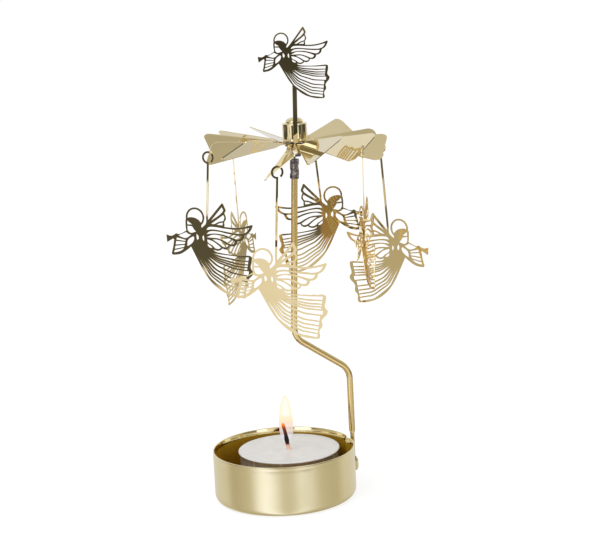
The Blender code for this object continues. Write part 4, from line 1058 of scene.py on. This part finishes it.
def rounded(loop, corner=math.radians(50.0), steps=4):
    """The same outline with its gentle bends drawn as curves and its sharp corners kept."""
    points = [Vector(point) for point in loop]
    tangents = []
    for last, point, following in zip(points[-1:] + points, points, points[1:] + points[:1]):
        before, after = point - last, following - point
        if before.length < 1e-7 or after.length < 1e-7 or before.angle(after) > corner:
            tangents.append(None)
        else:
            tangents.append((before / before.length + after / after.length).normalized())
    result = []
    for a, b, leave, reach in zip(points, points[1:] + points[:1], tangents, tangents[1:] + tangents[:1]):
        span = b - a
        if span.length < 0.00045 or (leave is None and reach is None):
            result.append(tuple(a))
            continue
        first = span if leave is None else leave * span.length
        last = span if reach is None else reach * span.length
        for k in range(steps):
            t = k / steps
            place = (a * (2 * t ** 3 - 3 * t ** 2 + 1) + first * (t ** 3 - 2 * t ** 2 + t)
                     + b * (3 * t ** 2 - 2 * t ** 3) + last * (t ** 3 - t ** 2))
            result.append(tuple(place))
    return result


def plate_mesh(name, loops):
    rim = 0.00002
    curve = bpy.data.curves.new(name, "CURVE")
    curve.dimensions = "2D"
    curve.fill_mode = "BOTH"
    curve.extrude = PLATE_THICKNESS / 2 - rim
    curve.bevel_depth = rim
    curve.bevel_resolution = 1
    curve.offset = -rim
    for loop in loops:
        loop = rounded(loop)
        spline = curve.splines.new("POLY")
        spline.points.add(len(loop) - 1)
        for point, (x, z) in zip(spline.points, loop):
            point.co = (x, z, 0.0, 1.0)
        spline.use_cyclic_u = True
    return settle(loose(name, curve), math.radians(10.0))


def plate_frame(azimuth):
    away = polar(1.0, azimuth + math.pi)
    upward = Vector((0.0, 0.0, 1.0))
    return Matrix((away, upward, away.cross(upward))).transposed()


def ring_centre(number, azimuth):
    along, _, square = vane_axes(number, VANE_REACH)
    ring_axis = plate_frame(azimuth).col[2]
    trace = square.cross(ring_axis).normalized()
    if trace.dot(along) < 0.0:
        trace.negate()
    drop = trace.cross(ring_axis).normalized()
    if drop.z > 0.0:
        drop.negate()
    half_chord = math.sqrt((RING_OUTER - RING_WIRE / 2) ** 2 - RING_SEAT_DROP ** 2)
    return rotor_frame() @ (hook_hole(number) + trace * half_chord + drop * RING_SEAT_DROP)


def make_charms(materials):
    """Each plate hangs by its balance; its stem twists from the ring's azimuth to the figure's."""
    for name, number, ring_degrees, degrees, long_stem in CHARMS:
        azimuth = math.radians(degrees)
        ring_azimuth = math.radians(ring_degrees)
        stem = LONG_STEM if long_stem else SHORT_STEM
        loops = charm_outlines(stem)
        centre_x, centre_z = balance(loops)
        mesh = plate_mesh(name, loops)
        start = -RING_OUTER - RING_WIRE
        wing_top = (UPPER_WING_SHARES[0][1] - JOINT_SHARE[1]) * FIGURE_SPAN_Z + RING_WIRE - stem
        for vertex in mesh.vertices:
            if abs(vertex.co.x) < STEM_WIDTH or vertex.co.y > wing_top:
                share = smooth_step((vertex.co.y + stem - RING_OUTER) / (start + stem - RING_OUTER))
                vertex.co = Matrix.Rotation((ring_azimuth - azimuth) * share, 3, "Y") @ vertex.co
        place = plate_frame(azimuth).to_4x4()
        place.translation = ring_centre(number, ring_azimuth)
        mesh.transform(place @ Matrix.Rotation(-math.atan2(centre_x, -centre_z), 4, "Z"))
        new_object(name.replace("charm", "etched"), mesh, materials["sheet"], name, [name])


def make_top_figure(materials):
    mesh = plate_mesh("etched_top", top_outlines())
    turn = plate_frame(math.pi + TOP_FIGURE_YAW)
    forward = turn.col[2] * (HUB_RADIUS + TOUCH_GAP + PLATE_THICKNESS / 2)
    place = turn.to_4x4()
    place.translation = forward - turn.col[0] * STRIP_SIDE
    place.translation.z += DISC_THICKNESS / 2 + TOUCH_GAP
    mesh.transform(rotor_frame() @ place @ Matrix.Rotation(-TOP_FIGURE_LEAN, 4, "Z"))
    new_object("etched_top", mesh, materials["sheet"], "rotor", ["top_angel"])


# Stage, light and camera

def make_floor():
    """White to the camera apart from its shadows, clear to the metal, and pale to other light."""
    shape = bmesh.new()
    bmesh.ops.create_grid(shape, x_segments=1, y_segments=1, size=3.0)
    mesh = from_shape("floor", shape)
    floor = loose("floor", mesh)
    floor.location.z = -0.0001
    material = bpy.data.materials.new("pale_floor")
    graph = Graph(material)
    plain = graph.add("BsdfDiffuse", 0, {"Color": (0.8, 0.8, 0.8, 1.0)})
    shade = graph.add("BsdfDiffuse", 0, {"Color": (0.34, 0.34, 0.34, 1.0)})
    white = graph.add("Emission", 0, {"Strength": 0.74})
    shown = graph.add("AddShader", 0, {0: white, 1: shade})
    glossy = graph.add("LightPath", "Is Glossy Ray")
    other = graph.blend_shaders(glossy, plain, graph.add("BsdfTransparent"))
    graph.surface("Material", graph.blend_shaders(graph.add("LightPath", "Is Camera Ray"), other, shown))
    mesh.materials.append(material)


# The studio that the metal mirrors, as (azimuth, brightness) stops. A brightness of 1 is the white backdrop.
FRONT_STOPS = (
    (-180, 0.55), (-167, 0.60), (-152, 0.66), (-144, 0.74), (-135, 1.35), (-126, 1.75), (-112, 1.70),
    (-103, 1.15), (-95, 0.76), (-84, 0.74), (-74, 0.86), (-66, 1.24), (-54, 1.26), (-45, 0.92), (-34, 0.72),
    (-22, 0.64), (0, 0.60), (30, 0.57), (60, 0.6), (90, 0.7), (120, 0.62), (150, 0.55), (180, 0.55),
)
# Round the polished hub: a narrow ring near the level
LEVEL_STOPS = (
    (-180, 0.07), (-166, 0.08), (-160, 0.45), (-154, 0.95), (-124, 1.0), (-118, 0.10), (-106, 0.08),
    (-98, 0.30), (-78, 0.35), (-69, 0.10), (-64, 0.45), (-57, 0.72), (-52, 0.30), (-46, 0.07), (-27, 0.09),
    (-22, 0.40), (-16, 0.12), (8, 0.06), (22, 0.08), (34, 0.50), (48, 0.92), (90, 0.95), (132, 0.95),
    (144, 0.60), (152, 0.08), (180, 0.06),
)
# In front and above the level: two windows over a dim room
WINDOW_STOPS = (
    (-180, 0.60), (-150, 0.40), (-139, 0.26), (-137, 2.0), (-110, 2.0), (-108, 0.30), (-92, 0.26),
    (-75, 0.30), (-73, 2.0), (-46, 2.0), (-44, 0.26), (-24, 0.22), (0, 0.40), (180, 0.60),
)
# By the sine of the elevation, behind the object
BACK_STOPS = (
    (-1.0, 0.50), (-0.86, 0.52), (-0.54, 0.64), (-0.24, 0.82), (0.0, 1.0), (0.16, 1.0), (0.36, 0.86),
    (0.67, 0.72), (0.87, 0.52), (0.91, 0.68), (1.0, 0.6),
)
# By how far it lies to the back, overhead
OVERHEAD_STOPS = ((-1.0, 0.8), (-0.3, 0.72), (0.4, 0.70), (1.0, 0.7))
# The level screen mirrored by the turned stem of the front plate: azimuth and brightness
STEM_STOPS = (
    (-105, 0.6), (-99, 0.64), (-91, 0.80), (-82, 0.72), (-73, 0.75), (-63, 0.66), (-61, 0.10), (-56, 0.06),
    (-48, 0.08),
)
# Upright screens that the flat plates mirror: azimuth, half width of the even part and of the faded edge
# in degrees, and brightness by elevation
SCREENS = (
    (-136.7, 2.2, 3.4, ((-13.0, 0.95), (-11.2, 0.86), (-11.0, 0.20), (-10.8, 0.11), (-6.0, 0.10))),
    (-137.6, 0.40, 0.50, ((-12.0, 0.92), (-10.55, 0.86), (-10.4, 0.11), (-10.0, 0.11))),
    (-136.99, 0.075, 0.09, ((-8.74, 0.10), (-8.68, 1.7), (-7.6, 1.7), (-7.54, 0.10))),
    (-151.0, 2.2, 3.4, ((-13.0, 0.75), (-12.0, 0.70), (-11.6, 0.54), (-7.0, 0.54), (-6.4, 0.16))),
    (-150.9, 0.16, 0.28, ((-9.45, 0.50), (-9.38, 0.16), (-8.75, 0.16), (-8.65, 0.72), (-7.8, 0.72),
                          (-7.7, 0.17), (-6.5, 0.16))),
    (-108.5, 4.5, 6.0, ((-14.0, 1.0), (-12.0, 0.98), (-8.4, 0.98))),
    (-104.4, 1.9, 2.3, ((-11.1, 0.10), (-9.0, 0.10))),
    (-66.0, 12.0, 13.0, ((-8.2, 0.17), (-4.2, 0.15))),
    (-79.3, 3.0, 4.5, ((-12.0, 0.8), (-10.4, 0.70), (-9.9, 0.45), (-9.55, 0.13), (-8.9, 0.11), (-7.2, 0.14))),
    (-129.4, 0.7, 0.9, ((-9.9, 0.42), (-9.3, 0.36), (-9.0, 0.45), (-8.7, 0.36), (-8.4, 0.30), (-8.0, 0.38))),
    (-78.78, 0.30, 0.36, ((-9.9, 0.42), (-9.6, 0.38), (-9.1, 0.34), (-8.8, 0.42), (-8.5, 0.30), (-8.2, 0.38),
                          (-7.8, 0.34))),
    (-66.7, 2.5, 4.0, ((-6.6, 0.07), (-6.0, 0.05), (-5.0, 0.10), (-4.2, 0.07), (-3.0, 0.055), (-2.4, 0.25),
                       (-2.0, 0.12))),
    (46.1, 3.0, 5.0, ((-12.0, 0.65), (-11.0, 0.50), (-10.3, 0.42), (-10.2, 0.16), (-10.1, 0.40), (-9.5, 0.33),
                      (-9.1, 0.45), (-8.6, 0.65))),
    (64.4, 3.0, 5.0, ((-12.0, 0.62), (-10.9, 0.45), (-9.0, 0.45), (-8.5, 0.5))),
)
# Round cards: azimuth, elevation, radius of the even part and of the faded edge in degrees, brightness
CARDS = (
    (-50.7, -10.7, 1.6, 2.6, 0.07), (-55.5, -10.9, 2.2, 3.2, 0.05), (116.5, 48.0, 9.0, 16.0, 0.93),
    (114.0, -43.0, 7.0, 12.0, 0.82), (100.0, 9.0, 5.0, 8.0, 1.0), (130.5, -40.6, 1.2, 3.0, 1.2),
)
# Gold screens: azimuth, half width of the even part and of the faded edge, lowest and highest elevation
GOLDEN = ((-78.78, 0.30, 0.36, -9.9, -7.8), (64.4, 3.0, 5.0, -12.0, -8.5))
GOLD_TINT = (1.0, 0.72, 0.42, 1.0)
# Colour by brightness: dim parts are warm and bright ones a little blue, as daylight screens are
TONES = (
    (0.0, (0.0, 0.0, 0.0)), (0.12, (0.12, 0.118, 0.108)), (0.5, (0.52, 0.49, 0.41)),
    (0.7, (0.71, 0.69, 0.63)), (0.85, (0.84, 0.85, 0.90)), (1.0, (0.97, 0.985, 1.06)),
    (1.3, (1.10, 1.15, 1.36)), (1.8, (1.30, 1.40, 1.75)), (1.98, (1.55, 1.8, 2.4)),
)
FULL_BRIGHTNESS = 2.0
FULL_TONE = 2.5
SCREEN_FADE = 0.3


def make_world():
    world = bpy.data.worlds.new("studio")
    bpy.context.scene.world = world
    graph = Graph(world)
    place = graph.add("TexCoord", "Generated")
    x, y, z = graph.parts(place)
    azimuth = graph.math("DEGREES", graph.math("ARCTAN2", y, x))
    elevation = graph.math("DEGREES", graph.math("ARCSINE", z))

    def eased(value, low, high):
        return graph.spread(value, 0.0, 1.0, low, high, "SMOOTHSTEP")

    def graded(value, stops, low=-180.0, high=180.0):
        levels = [((at - low) / (high - low), (level / FULL_BRIGHTNESS,) * 3) for at, level in stops]
        return graph.ramp(graph.spread(value, 0.0, 1.0, low, high), levels)

    def both(first, second):
        return graph.math("MULTIPLY", first, second)

    def near(value, centre, even, edge):
        away = graph.math("ABSOLUTE", graph.math("SUBTRACT", value, centre))
        return graph.spread(away, 0.0, 1.0, edge, even)

    def upright(centre, even, edge, low, high):
        half = (high - low) / 2
        rows = near(elevation, (low + high) / 2, half, half + SCREEN_FADE)
        return both(near(azimuth, centre, even, edge), rows)

    back = graded(z, BACK_STOPS, -1.0, 1.0)
    behind = eased(y, 0.0, 0.35)
    glow = graph.blend(behind, graded(azimuth, FRONT_STOPS), back)
    overhead = graph.blend(behind, graded(y, OVERHEAD_STOPS, -1.0, 1.0), back)
    glow = graph.blend(eased(z, 0.25, 0.8), glow, overhead)
    ring = both(eased(z, -0.150, -0.135), eased(z, 0.03, -0.01))
    glow = graph.blend(ring, glow, graded(azimuth, LEVEL_STOPS))
    above = both(graph.spread(z, 0.0, 1.0, 0.10, 0.15), graph.spread(z, 0.0, 1.0, 0.60, 0.48))
    glow = graph.blend(both(above, eased(y, -0.05, -0.30)), glow, graded(azimuth, WINDOW_STOPS))
    level = both(near(azimuth, -77.0, 24.0, 27.0), near(elevation, -11.7, 0.75, 0.9))
    glow = graph.blend(level, glow, graded(azimuth, STEM_STOPS, -105.0, -48.0))
    for centre, even, edge, stops in SCREENS:
        low, high = stops[0][0], stops[-1][0]
        screen = graded(elevation, stops, low, high)
        glow = graph.blend(upright(centre, even, edge, low, high), glow, screen)
    for degrees_round, degrees_up, even, edge, brightness in CARDS:
        up = math.radians(degrees_up)
        toward = polar(math.cos(up), math.radians(degrees_round), math.sin(up))
        facing = graph.add("VectorMath", "Value", {0: place, 1: toward}, operation="DOT_PRODUCT")
        card = eased(facing, math.cos(math.radians(edge)), math.cos(math.radians(even)))
        glow = graph.blend(card, glow, brightness / FULL_BRIGHTNESS)

    tones = [(at / FULL_BRIGHTNESS, [part / FULL_TONE for part in tone]) for at, tone in TONES]
    gilded = graph.math("ADD", *(upright(*values) for values in GOLDEN))
    coloured = graph.blend_colours(gilded, graph.ramp(glow, tones), GOLD_TINT, "MULTIPLY")
    mirrored = graph.add("Background", 0, {"Color": coloured, "Strength": FULL_TONE})
    soft, white = (graph.add("Background", 0, {"Color": (1.0, 1.0, 1.0, 1.0), "Strength": strength})
                   for strength in (0.80, 1.0))
    inner = graph.blend_shaders(graph.add("LightPath", "Is Glossy Ray"), soft, mirrored)
    graph.surface("World", graph.blend_shaders(graph.add("LightPath", "Is Camera Ray"), inner, white))


def soft_lamp(name, place, target, size, power):
    lamp = bpy.data.lights.new(name, "AREA")
    lamp.shape = "SQUARE"
    lamp.size = size
    lamp.energy = power
    obj = loose(name, lamp)
    obj.location = place
    obj.rotation_euler = (Vector(target) - Vector(place)).to_track_quat("-Z", "Y").to_euler()
    obj.visible_glossy = False


def make_light():
    soft_lamp("key_lamp", (-0.5, -0.5, 0.9), (0.0, 0.0, 0.06), 0.6, 4.0)
    soft_lamp("fill_lamp", (0.7, -0.3, 0.6), (0.0, 0.0, 0.06), 0.8, 0.7)


# Fitted to the photograph
CAMERA_PLACE = (0.00845, -0.600, 0.199)
CAMERA_TILT = math.radians(79.2)
CAMERA_ROLL = math.radians(-2.9)
CAMERA_LENS = 101.2


def make_camera():
    camera = bpy.data.cameras.new("camera")
    camera.lens = CAMERA_LENS
    camera.sensor_width = 36.0
    camera.clip_start = 0.01
    obj = loose("camera", camera)
    turn = Matrix.Rotation(CAMERA_TILT, 4, "X") @ Matrix.Rotation(CAMERA_ROLL, 4, "Z")
    obj.matrix_world = Matrix.Translation(CAMERA_PLACE) @ turn
    bpy.context.scene.camera = obj


def dress_cad_nodes(materials):
    """Pieces whose solids already have the right shape get their finish."""
    for node, material in (("pivot_needle", "steel"), ("pivot_bearing", "steel"), ("wick_sustainer", "foil")):
        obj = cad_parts[node]
        obj.data.materials.clear()
        obj.data.materials.append(materials[material])


materials = make_materials()
make_cup(materials)
make_post(materials)
make_ferrule(materials)
make_foil_cup(materials)
make_wax(materials)
make_wick(materials)
make_flame()
make_vanes(materials)
make_hub(materials)
make_charms(materials)
make_top_figure(materials)
dress_cad_nodes(materials)
make_floor()
make_world()
make_light()
make_camera()
bpy.context.scene.view_settings.view_transform = "Standard"
